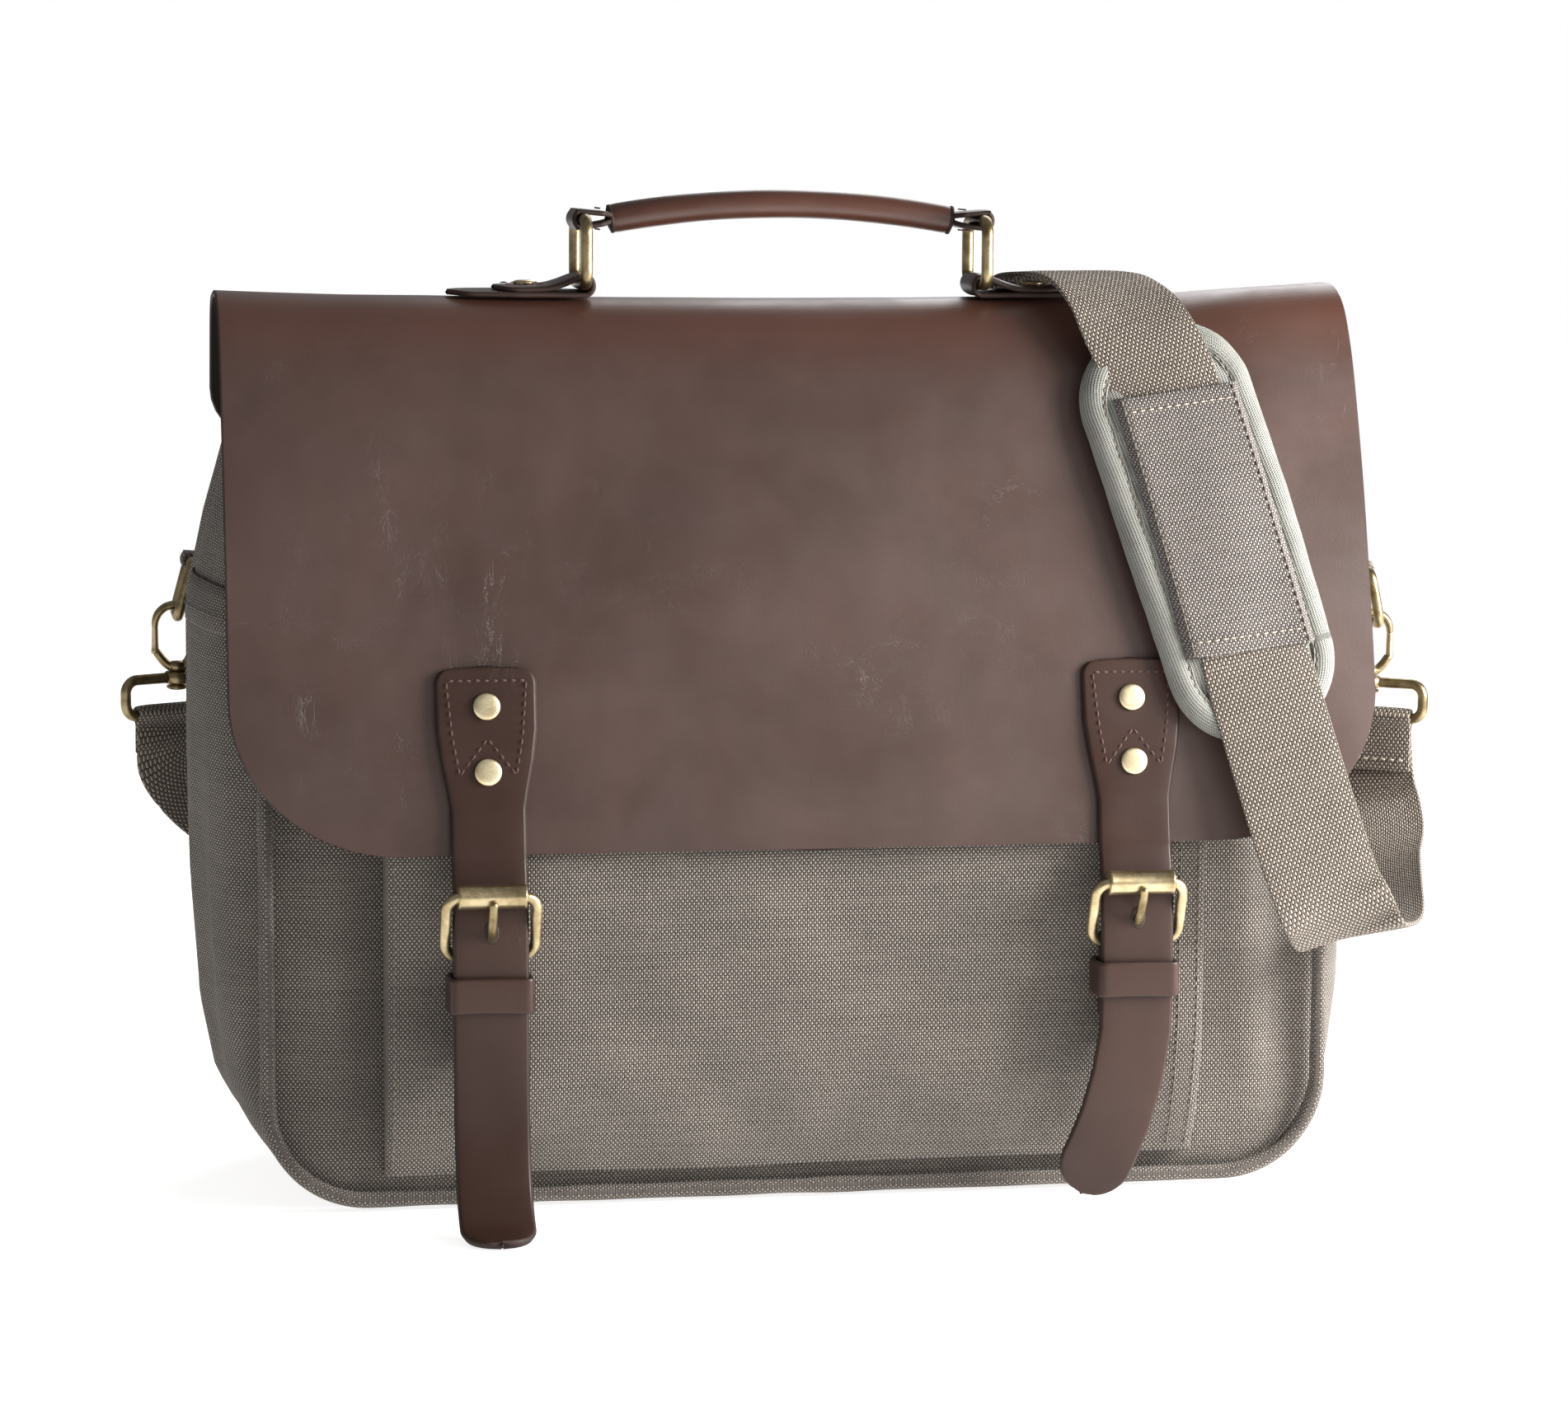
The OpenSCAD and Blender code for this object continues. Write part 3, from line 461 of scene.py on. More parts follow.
def flat_points(u, v, shape):
    """Flat cloth coordinates u, v for a grid of points, one row for each point."""
    sheet = [np.broadcast_to(u, shape), np.broadcast_to(v, shape), np.zeros(shape)]
    return np.stack(sheet, 2).reshape(-1, 3)


def grid_flat(g):
    """Flat cloth coordinates of a grid: lengths from the middle of each row, and down the middle column."""
    rows, cols = g.shape[:2]
    mid = cols // 2
    u = np.zeros((rows, cols))
    step = np.linalg.norm(np.diff(g, axis=1), axis=2)
    u[:, 1:] = np.cumsum(step, axis=1)
    u -= u[:, mid:mid + 1]
    v = lengths(g[:, mid])[:, None] + np.zeros((rows, cols))
    return np.stack([u, v, np.zeros((rows, cols))], 2)


def slab(name, g, thick, mats, normals=None, flat=None, rim=0.35, flip=False):
    """A closed sheet: g is the outer face, and the sheet lies thick behind it, with a rounded rim.
    mats are the outer face's, the rim's and the back's."""
    rows, cols = g.shape[:2]
    n = grid_normals(g) * (-1 if flip else 1) if normals is None else normals
    flat = grid_flat(g) if flat is None else flat
    back = g - n * thick
    loop = [(0, j) for j in range(cols)] + [(i, cols - 1) for i in range(1, rows)] + \
        [(rows - 1, j) for j in range(cols - 2, -1, -1)] + [(i, 0) for i in range(rows - 2, 0, -1)]
    li = A([i for i, _ in loop])
    lj = A([j for _, j in loop])
    inward_i = np.clip(li, 1, rows - 2)
    inward_j = np.clip(lj, 1, cols - 2)
    out = unit(g[li, lj] - g[inward_i, inward_j])
    out = unit(out - (out * n[li, lj]).sum(1, keepdims=True) * n[li, lj])
    mid = (g[li, lj] + back[li, lj]) / 2 + out * thick * rim
    a = rows * cols
    verts = np.concatenate([g.reshape(-1, 3), back.reshape(-1, 3), mid])
    flats = np.concatenate([flat.reshape(-1, 3), flat.reshape(-1, 3) + [0, 0, 1],
                            flat[li, lj] + out * [thick, thick, 0]])
    front = grid_faces(rows, cols, 0, flip)
    behind = grid_faces(rows, cols, a, not flip)
    rim_faces = []
    k = len(loop)
    for q in range(k):
        r = (q + 1) % k
        f0, f1 = loop[q][0] * cols + loop[q][1], loop[r][0] * cols + loop[r][1]
        m0, m1 = 2 * a + q, 2 * a + r
        for face in ((f0, m0, m1, f1), (m0, f0 + a, f1 + a, m1)):
            rim_faces.append(face[::-1] if flip else face)
    faces = front + behind + rim_faces
    index = {m: i for i, m in enumerate(dict.fromkeys(mats))}
    fm = [index[mats[0]]] * len(front) + [index[mats[2]]] * len(behind) + [index[mats[1]]] * len(rim_faces)
    return build(name, verts, faces, list(index), fm, flats)


def frames(path, up=(0, 0, 1), close=False):
    """Tangent and two cross directions along a path, turning as little as it can."""
    p = A(path, float)
    t = unit(np.roll(p, -1, 0) - np.roll(p, 1, 0)) if close else unit(np.gradient(p, axis=0))
    a = A(up, float)
    sides = []
    for d in t:
        a = unit(a - (a @ d) * d)
        sides.append(a)
    s = A(sides)
    return t, s, np.cross(t, s)


def tube(name, path, radius, mat, sides=14, close=False, up=(0, 0, 1), squash=1.0):
    """A round or oval bar along a path.

    radius is one number or one for each point; squash is the second radius as a share of the first.
    """
    p = A(path, float)
    t, s, b = frames(p, up, close)
    r = np.broadcast_to(A(radius, float), (len(p),))
    ang = np.linspace(0, math.tau, sides, endpoint=False)
    ring = p[:, None] + r[:, None, None] * (np.cos(ang)[None, :, None] * s[:, None] * squash
                                            + np.sin(ang)[None, :, None] * b[:, None])
    verts = ring.reshape(-1, 3)
    along = lengths(p)
    flat = flat_points(ang * r[:, None], along[:, None], (len(p), sides))
    faces = grid_faces(len(p), sides, 0, False, True, close)
    if not close:
        n = len(verts)
        extra = A([p[0] - t[0] * r[0] * 0.35, p[-1] + t[-1] * r[-1] * 0.35])
        verts = np.concatenate([verts, extra])
        flat = np.concatenate([flat, np.zeros((2, 3))])
        last = (len(p) - 1) * sides
        faces += [(n, (j + 1) % sides, j) for j in range(sides)]
        faces += [(n + 1, last + j, last + (j + 1) % sides) for j in range(sides)]
    return build(name, verts, faces, [mat], None, flat)


def lathe(name, profile, origin, axis, mat, sides=36):
    """A turned piece: profile is [radius, height] from the middle of one face to the middle of the other."""
    z = unit(A(axis, float))
    x = unit(np.cross(z, [0.3, 0.9, 0.2]))
    y = np.cross(z, x)
    prof = A(profile, float)
    ang = np.linspace(0, math.tau, sides, endpoint=False)
    ring = A(origin, float) + prof[:, 1, None, None] * z + prof[:, 0, None, None] * (
        np.cos(ang)[None, :, None] * x + np.sin(ang)[None, :, None] * y)
    verts = ring.reshape(-1, 3)
    faces = grid_faces(len(prof), sides, 0, True, True)
    n = len(verts)
    foot = A(origin, float)
    verts = np.concatenate([verts, A([foot + prof[0, 1] * z, foot + prof[-1, 1] * z])])
    last = (len(prof) - 1) * sides
    faces += [(n, j, (j + 1) % sides) for j in range(sides)]
    faces += [(n + 1, last + (j + 1) % sides, last + j) for j in range(sides)]
    return build(name, verts, faces, [mat])


def stitches(name, runs, mat, length=2.6, gap=1.0, r=0.34, sink=0.45, wander=0.06):
    """Sewing thread, each stitch a short arched strand. A run is (points on the surface, outward normals)."""
    verts, faces = [], []
    profile = A([0.0, 0.55, 0.9, 1.0, 0.9, 0.55, 0.0])
    sides = 6
    rng = np.random.default_rng(len(name))
    for points, normals in runs:
        p, n = A(points, float), unit(A(normals, float))
        if n.ndim == 1:
            n = np.broadcast_to(n, p.shape)
        along = lengths(p)
        count = max(1, int(along[-1] / (length + gap)))
        pitch = along[-1] / count
        for k in range(count):
            s = np.linspace(k * pitch + gap / 2, (k + 1) * pitch - gap / 2, 7)
            c = at(p, s)
            nn = unit(np.stack([np.interp(s, along, n[:, q]) for q in range(3)], 1))
            d = unit(np.gradient(c, axis=0))
            side = np.cross(nn, d)
            c = c + nn * (profile[:, None] * r * 0.9 - r * sink) + side * rng.normal(0, wander) * r
            ang = np.linspace(0, math.tau, sides, endpoint=False)
            rr = r * (0.35 + 0.65 * profile)
            ring = c[:, None] + rr[:, None, None] * (np.cos(ang)[None, :, None] * side[:, None] * 1.15
                                                     + np.sin(ang)[None, :, None] * nn[:, None])
            base = len(verts)
            verts.extend(ring.reshape(-1, 3))
            faces.extend(grid_faces(7, sides, base, False, True))
            faces.append(tuple(base + j for j in range(sides))[::-1])
            faces.append(tuple(base + 6 * sides + j for j in range(sides)))
    return build(name, verts, faces, [mat])


def strap(name, mid, across, width, thick, mats, round_ends=(0, 0), cols=9):
    """A flat strap: mid is the middle of its outer face, across points to its right side seen from outside.
    width may change along it; round_ends is the length of the rounded tip at each end."""
    p = A(mid, float)
    t = unit(np.gradient(p, axis=0))
    a = unit(A(across, float) - (A(across, float) * t).sum(1, keepdims=True) * t)
    w = np.broadcast_to(A(width, float), (len(p),)).copy() / 2
    along = lengths(p)
    for end, tip in zip((0, 1), round_ends):
        if tip:
            d = along if end == 0 else along[-1] - along
            x = np.clip(1 - d / tip, 0, 1)
            w *= np.sqrt(np.maximum(1 - x ** 2, 0.0016))
    n = unit(np.cross(t, a))
    u = np.sin(np.linspace(-math.pi / 2, math.pi / 2, cols))
    g = p[:, None] + u[None, :, None] * w[:, None, None] * a[:, None]
    worn_edge = 0.12 * np.abs(u[None, :, None]) ** 6
    g = g - n[:, None] * (thick * worn_edge)
    flat = np.stack([u[None] * w[:, None], np.broadcast_to(along[:, None], (len(p), cols)),
                     np.zeros((len(p), cols))], 2)
    return slab(name, g, thick, mats, np.broadcast_to(n[:, None], g.shape).copy(), flat, flip=True)


def keep(obj, body, *nodes, slot=None):
    """obj rides on body and stands for the CAD nodes."""
    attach(obj, body)
    if nodes:
        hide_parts(*nodes)
    return obj


def floor():
    g = np.zeros((25, 25, 3))
    xs = np.linspace(-6000, 6000, 25)
    g[..., 0] = xs[None]
    g[..., 1] = xs[:, None]
    g[..., 2] = -0.4
    me = bpy.data.meshes.new("floor")
    me.from_pydata([tuple(v * MM) for v in g.reshape(-1, 3)], [], grid_faces(25, 25))
    me.materials.append(floor_material())
    o = bpy.data.objects.new("floor", me)
    scene.collection.objects.link(o)


floor()

# ------------------------------------------------------------------ the canvas body
FRONT_Y = ([0, 4, 12, 60, 120, 180, 220, 280], [-46, -52, -53.4, -53, -52, -47, -41, -25])
BACK_Y = ([0, 4, 12, 60, 150, 220, 280, 298], [40, 45.5, 47, 47, 45, 41, 34, 28])
RIGHT_X = ([0, 14, 38, 68, 110, 160, 205, 235, 268, 300],
           [178, 190, 197, 201, 202, 202, 201, 198, 191, 186])
LEFT_X = ([0, 14, 38, 68, 110, 160, 208, 235, 268, 300], [178, 190, 199, 205, 208, 209, 208, 202, 192, 186])
BULGE = ([0, 0.06, 0.19, 0.37, 0.62, 0.8, 0.93, 1], [0, 0.5, 0.86, 1, 1, 0.87, 0.5, 0])
SEAM_X, SEAM_Z, SEAM_R = 185.6, 3.8, 35.2
FRONT_TOP, BACK_TOP = 274.0, 290.0


def front_y(z):
    return line(z, FRONT_Y)


def back_y(z):
    return line(z, BACK_Y)


def seam(n_side=46, n_arc=11, n_base=56):
    """The seam round a panel seen from the front: [x, z share of the side or None, z], outward direction."""
    pts, out = [], []
    corner_z = SEAM_Z + SEAM_R
    for s in np.linspace(1, 0, n_side, endpoint=False):
        pts.append((-SEAM_X, corner_z, s))
        out.append((-1, 0))
    for a in np.linspace(0, math.pi / 2, n_arc, endpoint=False):
        pts.append((-SEAM_X + SEAM_R * (1 - math.cos(a)), corner_z - SEAM_R * math.sin(a), 0))
        out.append((-math.cos(a), -math.sin(a)))
    for x in np.linspace(-SEAM_X + SEAM_R, 0, n_base // 2 + 1):
        pts.append((x, SEAM_Z, 0))
        out.append((0, -1))
    pts, out = A(pts), A(out)
    mirror = pts[::-1][1:] * [-1, 1, 1]
    return np.concatenate([pts, mirror]), np.concatenate([out, out[::-1][1:] * [-1, 1]])


def seam_line(top, y_of, shift=0.0):
    pts, out = seam()
    z = pts[:, 1] + pts[:, 2] * (top - SEAM_Z - SEAM_R)
    return np.stack([pts[:, 0], y_of(z) + shift, z], 1), out


def side_bulge(pts, out):
    """How far the gusset stands out from its seams."""
    z = pts[:, 2]
    side = np.where(pts[:, 0] < 0, line(z, LEFT_X), line(z, RIGHT_X)) - SEAM_X
    down = -out[:, 1]
    return np.where(z > SEAM_Z + SEAM_R, side, side * (1 - down) ** 1.2 * 0.9 + 3.6 * down)


def gusset_grid():
    """The gusset between the two seams, standing out from them with soft folds."""
    f, out = seam_line(FRONT_TOP, front_y, 1.4)
    b, _ = seam_line(BACK_TOP, back_y, -1.4)
    mid = (f + b) / 2
    depth = side_bulge(mid, out)
    t = np.linspace(0, 1, 27)
    t = 0.5 - 0.5 * np.cos(t * math.pi) * (0.55 + 0.45 * np.abs(np.cos(t * math.pi)))
    normal = np.stack([out[:, 0], np.zeros(len(out)), out[:, 1]], 1)
    base = np.abs(out[:, 1])
    under = np.clip(np.minimum(t, 1 - t) * 14, 0, 1)
    profile = line(t, BULGE)[None] * (1 - base[:, None]) + base[:, None] * under[None]
    run = lengths(mid)[:, None]
    y = mid[:, 1:2] + (t[None] - 0.5) * 98
    folds = 1.5 * np.sin(t[None] * math.tau * 3.1 + 0.8 * np.sin(run / 60))
    folds = folds + 1.3 * ripple(run * 0.35, y, 5, 34)
    folds = folds * (1 - base[:, None]) * np.sin(t * math.pi)[None] ** 0.7
    folds = folds * np.where(mid[:, 0:1] < 0, 1.0, 0.55) * np.clip((mid[:, 2:3] - 12) / 50, 0.15, 1)
    lift = depth[:, None] * profile + np.minimum(folds, 1.0)
    g = f[:, None] * (1 - t[None, :, None]) + b[:, None] * t[None, :, None]
    g = g + normal[:, None] * lift[..., None]
    g[..., 2] = np.maximum(g[..., 2], 0.25)
    return g


def panel_grid(top, y_of, side, cols=73, rows=58):
    """The front or back panel inside its seam: side is -1 for the front, 1 for the back."""
    low = SEAM_Z + SEAM_R - SEAM_R * np.cos(np.linspace(0, math.pi / 2, 9))
    z = np.concatenate([low, np.linspace(low[-1], top, rows - 8)[1:]])
    half = SEAM_X - SEAM_R + np.sqrt(np.maximum(SEAM_R ** 2 - np.maximum(SEAM_Z + SEAM_R - z, 0) ** 2, 0))
    u = np.linspace(-1, 1, cols)
    u = np.sign(u) * np.abs(u) ** 0.9
    x = u[None] * half[:, None]
    zz = z[:, None] + np.zeros_like(x)
    edge = np.minimum(np.clip((half[:, None] - np.abs(x)) / 26, 0, 1), np.clip((zz - SEAM_Z) / 26, 0, 1))
    puff = 1 - (1 - edge) ** 2
    soft = 1.1 * ripple(x, zz * 0.45, 11 if side < 0 else 12, 95) + 0.5 * ripple(x, zz, 31, 40)
    under_flap = 1.6 * np.clip((zz - 246) / 14, 0, 1) if side > 0 else 0
    y = y_of(zz) + side * (-1.6 + 1.9 * puff + soft * puff * np.clip((top - zz) / 60, 0.2, 1) - under_flap)
    return np.stack([x, y, zz], 2)


def front_folds(g):
    """Soft upright folds beside the pocket, where the canvas is slack."""
    x, z = g[..., 0], g[..., 2]
    fade = np.clip((z - 12) / 40, 0, 1) * np.clip((215 - z) / 90, 0, 1)
    for cx, lean, size, width in ((160, -0.05, 2.4, 8), (174, 0.03, -1.6, 6), (-164, 0.04, 2.0, 8),
                                  (-176, 0, -1.2, 6)):
        g[..., 1] -= size * np.exp(-((x - cx - lean * (z - 80)) / width) ** 2) * fade
    return g


gusset = slab("gusset_shell", gusset_grid(), 2.2, ["canvas", "canvas", "lining"])
keep(gusset, "bag", "gusset_left", "gusset_right", "base_panel", slot="canvas")
front_grid = front_folds(panel_grid(FRONT_TOP, front_y, -1))
front = slab("front_shell", front_grid, 2.2, ["canvas", "canvas", "lining"])
keep(front, "bag", "front_panel", slot="canvas")
back_grid = panel_grid(BACK_TOP, back_y, 1)
back = slab("back_shell", back_grid, 2.2, ["canvas", "canvas", "lining"], flip=True)
keep(back, "bag", "back_panel", slot="canvas")


def piping(name, node, y_of, shift, top):
    pts, out = seam_line(top, y_of, shift)
    r = 2.7 + 0.18 * ripple(lengths(pts), 0 * pts[:, 0], 3, 30)
    pts[:, 2] = np.maximum(pts[:, 2], 3.6)
    fine = even(pts, 420, 2)
    o = tube(name, fine, np.interp(np.linspace(0, 1, 420), np.linspace(0, 1, len(r)), r), "canvas_hem", 12,
             up=(0, -1, 0))
    keep(o, "bag", node, slot="canvas")
    return pts, out


piping("front_piping_cord", "front_piping", front_y, -3.4, 262)
back_pipe, back_out = piping("back_piping_cord", "back_piping", back_y, 3.4, 276)


def seam_row(name, pipe, out, side, away):
    """A row of stitches just inside the piping, on the panel."""
    inner = pipe.copy()
    inner[:, 0] -= out[:, 0] * away
    inner[:, 2] -= out[:, 1] * away
    inner[:, 1] -= side * 2.4
    o = stitches(name, [(even(inner, 500, 2), (0, side, 0))], "thread_taupe", 2.4, 1.0, 0.3)
    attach(o, "bag")


seam_row("back_seam_stitches", back_pipe, back_out, 1, 4.4)

# Lining, floor and mouth
z_in = np.concatenate([[5.5, 9, 16, 26, 38], np.linspace(50, 268, 22)])
LOOP = []
for z in z_in:
    yf, yb = front_y(z) + 4.6, back_y(z) - 4.6
    half = 180 if z > 38 else 148 + math.sqrt(max(32 ** 2 - (38 - z) ** 2, 0))
    t = np.linspace(0, 1, 15)
    tuck = 5.5 + 0.024 * max(38 - z, 0) ** 2
    right = (min(line(z, RIGHT_X) - tuck, 197) - half) * line(t, BULGE)
    left = (min(line(z, LEFT_X) - tuck, 203) - half) * line(t, BULGE)
    xs = np.linspace(-1, 1, 31)
    ring = [(x * half, yf, z) for x in xs[:-1]]
    ring += [(half + max(r, 0), yf + (yb - yf) * q, z) for q, r in zip(t[:-1], right[:-1])]
    ring += [(-x * half, yb, z) for x in xs[:-1]]
    ring += [(-half - max(r, 0), yb + (yf - yb) * q, z) for q, r in zip(t[:-1], left[:-1])]
    LOOP.append(ring)
LOOP = A(LOOP)
LOOP[:, :, 2] += np.clip((LOOP[:, :, 2] - 200) / 68, 0, 1) * np.clip((LOOP[:, :, 1] + 24) / 52, 0, 1) * 14
LOOP[:, :, 1] += 0.7 * ripple(LOOP[:, :, 0], LOOP[:, :, 2], 21, 60) * np.clip(LOOP[:, :, 2] / 60, 0, 1)


def lining():
    rows, cols = LOOP.shape[:2]
    verts = list(LOOP.reshape(-1, 3))
    faces = grid_faces(rows, cols, 0, True, True)
    flat = flat_points(lengths(LOOP[5])[None], z_in[:, None], (rows, cols))
    outer = LOOP.copy()
    centre = outer.mean(1, keepdims=True)
    push = unit((outer - centre) * [0.3, 1, 0]) * 0.8
    outer = outer + push
    outer[0, :, 2] -= 0.8
    base = len(verts)
    verts += list(outer.reshape(-1, 3))
    faces += grid_faces(rows, cols, base, False, True)
    last = (rows - 1) * cols
    for j in range(cols):
        after = last + (j + 1) % cols
        faces.append((last + j, after, base + after, base + last + j))
    nf, ns = 30, 14
    for start, flip in ((0, False), (base, True)):
        f = [start + j for j in range(nf + 1)]
        b = [start + (nf + ns + nf - j) % cols for j in range(nf + 1)]
        fan = [(f[j], f[j + 1], b[j + 1], b[j]) for j in range(nf)]
        r = [start + j for j in range(nf, nf + ns + 1)]
        l = [start + j % cols for j in range(2 * nf + ns, 2 * nf + 2 * ns + 1)]
        fan += [tuple(r)] + [tuple(l)]
        faces += [q[::-1] for q in fan] if flip else fan
    flat = np.concatenate([flat, flat])
    return build("lining_bag", verts, faces, ["lining"], None, flat)


keep(lining(), "bag", "lining", "base_board", slot="lining")


def mouth():
    top = LOOP[-1] + (LOOP[-1] - LOOP[-1].mean(0)) * [0.012, 0.05, 0] + [0, 0, 5]
    top[:, 1] -= 3.0 * np.clip(top[:, 1] / 15, 0, 1)
    closed = np.concatenate([top, top[:1]])
    ring = at(closed, np.linspace(0, lengths(closed)[-1], 240)[:-1])
    out = ring - ring.mean(0)
    o = tube("mouth_binding", ring, 4.2, "canvas_hem", 12, True, (0, 0, 1), 1.0)
    me = o.data
    co = mesh_points(me).reshape(-1, 12, 3)
    mid = co.mean(1, keepdims=True)
    d = co - mid
    outward = unit((out * [0.3, 1, 0])[:, None])
    d -= (d * outward).sum(2, keepdims=True) * outward * 0.45
    me.vertices.foreach_set("co", (mid + d).ravel())
    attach(o, "bag")
    row = ring + unit(out * [0.3, 1, 0]) * 2.35 + [0, 0, -1.4]
    s = stitches("mouth_stitches", [(row, unit(out * [0.3, 1, 0]))], "thread_taupe", 2.6, 1.1, 0.32)
    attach(s, "bag")


mouth()


def divider():
    """The padded laptop divider: two crowned faces quilted in upright channels."""
    xs = np.linspace(-177, 177, 91)
    zs = np.linspace(9, 222, 40)
    x, z = np.meshgrid(xs, zs)
    y = 18 - (z - 8) / 214
    edge = np.minimum(np.minimum((177 - np.abs(x)) / 9, (z - 9) / 9), (222 - z) / 9)
    crown = np.sqrt(np.clip(edge, 0.02, 1))
    quilt = 0.55 + 0.45 * np.abs(np.sin(x * math.pi / 44.25)) ** 0.4
    g = np.stack([x, y - 3 * crown * quilt, z], 2)
    o = slab("divider_pad", g, 1.0, ["lining"] * 3)
    h = g.copy()
    h[..., 1] = y + 3 * crown * quilt
    co = mesh_points(o.data)
    n = g.shape[0] * g.shape[1]
    co[n:2 * n] = h.reshape(-1, 3) * MM
    rim = co[2 * n:]
    rim[:, 1] = (18 - (rim[:, 2] / MM - 8) / 214) * MM
    o.data.vertices.foreach_set("co", co.ravel())
    keep(o, "bag", "laptop_divider", slot="lining")


divider()

# ------------------------------------------------------------------ front pocket
POCKET = ([14, 26, 42, 60, 126, 160, 190], [-57.5, -63, -68, -70.6, -70.6, -66.6, -60.6])
PX0, PX1 = -146.0, 140.0


def pocket():
    """The pocket's face and its folded sides, one sheet that turns back to the body at each side."""
    z = np.concatenate([np.linspace(12.6, 46, 14), np.linspace(52, 190, 34)])
    xs = np.linspace(PX0 + 3.2, PX1 - 3.2, 61)
    face_x = np.concatenate([[PX0 + 0.35, PX0 + 1.1], xs, [PX1 - 1.1, PX1 - 0.35]])
    side_y = np.linspace(1, 0, 6)[:-1]
    g = []
    for zz in z:
        yb = front_y(zz) - 1.2
        yf = line(zz, POCKET)
        row = [(PX0 + 0.1, yb + (yf + 1.8 - yb) * (1 - s), zz) for s in side_y]
        corner = {0: 0.9, 1: 0.25, 63: 0.25, 64: 0.9}
        for k, x in enumerate(face_x):
            row.append((x, yf + corner.get(k, 0.0), zz))
        row += [(PX1 - 0.1, yb + (yf + 1.8 - yb) * (1 - s), zz) for s in side_y[::-1]]
        g.append(row)
    g = A(g)
    inner = np.clip(np.minimum(g[..., 0] - PX0, PX1 - g[..., 0]) / 18, 0, 1)
    puff = inner * (2 - inner)
    x, zz = g[..., 0], g[..., 2]
    soft = 0.9 * ripple(x, zz * 0.5, 44, 110) + 0.45 * ripple(x, zz, 45, 45)
    low = np.exp(-((zz - 30) / 16) ** 2)
    dips = sum(s * np.exp(-((x - c - 0.3 * (zz - 40)) / w) ** 2) for c, w, s in
               ((60, 12, 1.4), (84, 9, -1.1), (-40, 14, 1.0), (16, 10, -0.9), (-96, 11, 0.9)))
    g[..., 1] -= puff * (soft + dips * low) - 0.2
    g[..., 2] += 0.5 * ripple(x, 0 * x, 46, 90) * np.clip((30 - zz) / 16, 0, 1)
    # topstitched ditches just inside the two upright edges, and the fold ridge at the right
    for edge, depth, wide in ((PX0 + 2.6, 0.35, 0.9), (PX1 - 2.8, 0.4, 0.9), (PX1 - 9.5, 0.4, 1.0)):
        g[..., 1] += depth * np.exp(-((x - edge) / wide) ** 2)
    g[..., 1] -= 0.7 * np.exp(-((x - PX1 + 6) / 2.6) ** 2)
    return g


pg = pocket()
pocket_panel = slab("front_pocket_panel", pg, 1.6, ["canvas", "canvas_hem", "lining"])
keep(pocket_panel, "bag", "front_pocket", slot="canvas")


def on_surface(g, x, z):
    """y of the sheet at x, z, by nearest points of its grid."""
    flatg = g.reshape(-1, 3)
    d = (flatg[:, 0] - x) ** 2 + (flatg[:, 2] - z) ** 2
    k = np.argpartition(d, 4)[:4]
    w = 1 / (d[k] + 0.05)
    return float((flatg[k, 1] * w).sum() / w.sum())


def face_line(g, pts, lift=0.1):
    return A([(x, on_surface(g, x, z) - lift, z) for x, z in pts])


face_only = pg[:, 6:-6]
runs = [(face_line(face_only, [(x, z) for z in np.linspace(15, 188, 90)]), (0, -1, 0))
        for x in (PX0 + 2.6, PX1 - 2.8, PX1 - 9.5)]
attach(stitches("pocket_stitches", runs, "thread_taupe", 2.3, 0.9, 0.3), "bag")
hem = [(x, 186) for x in np.linspace(PX0 + 4, PX1 - 4, 120)]
hem_run = (face_line(face_only, hem), (0, -1, 0))
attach(stitches("pocket_hem_stitches", [hem_run], "thread_taupe", 2.4, 1.0, 0.3), "bag")

# Hemmed top of the front compartment at each side, and its row of stitches
gg = gusset_grid()
gn = grid_normals(gg)


def gusset_strip(name, rows, cols, lift, thick, mat):
    part = gg[rows][:, cols]
    nn = gn[rows][:, cols]
    o = slab(name, part + nn * lift, thick, [mat] * 3, nn)
    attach(o, "bag")
    return part + nn * lift, nn


for side, name in ((-1, "left"), (1, "right")):
    mid_z = gg[:, 0, 2]
    pick = np.where((np.sign(gg[:, 0, 0]) == side) & (mid_z > 197) & (mid_z < 213))[0]
    cols = np.arange(0, 15)
    part, nn = gusset_strip(f"gusset_hem_{name}", pick, cols, 1.0, 1.0, "canvas_hem")
    row = part[len(part) // 2]
    hem_run = (even(row, 60, 3), nn[len(part) // 2].mean(0))
    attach(stitches(f"gusset_hem_stitches_{name}", [hem_run], "thread_taupe", 2.3, 0.9, 0.3), "bag")

# ------------------------------------------------------------------ flap
# [y, z] of the flap's and the yoke's outer face, from the yoke's lower edge to the flap's
FLAP_PATH = [[37.9, 256], [36.4, 268], [34.4, 281], [31.6, 294], [29.6, 300.4], [27.0, 304.6],
             [22, 307.4], [14, 308.9], [0, 309.4], [-9, 308.3], [-17, 304.2], [-24, 296.4], [-33, 280],
             [-46, 245], [-58, 205], [-68.5, 160], [-74, 126]]
FLAP_L, FLAP_R, FLAP_T = -198.0, 200.0, 2.4


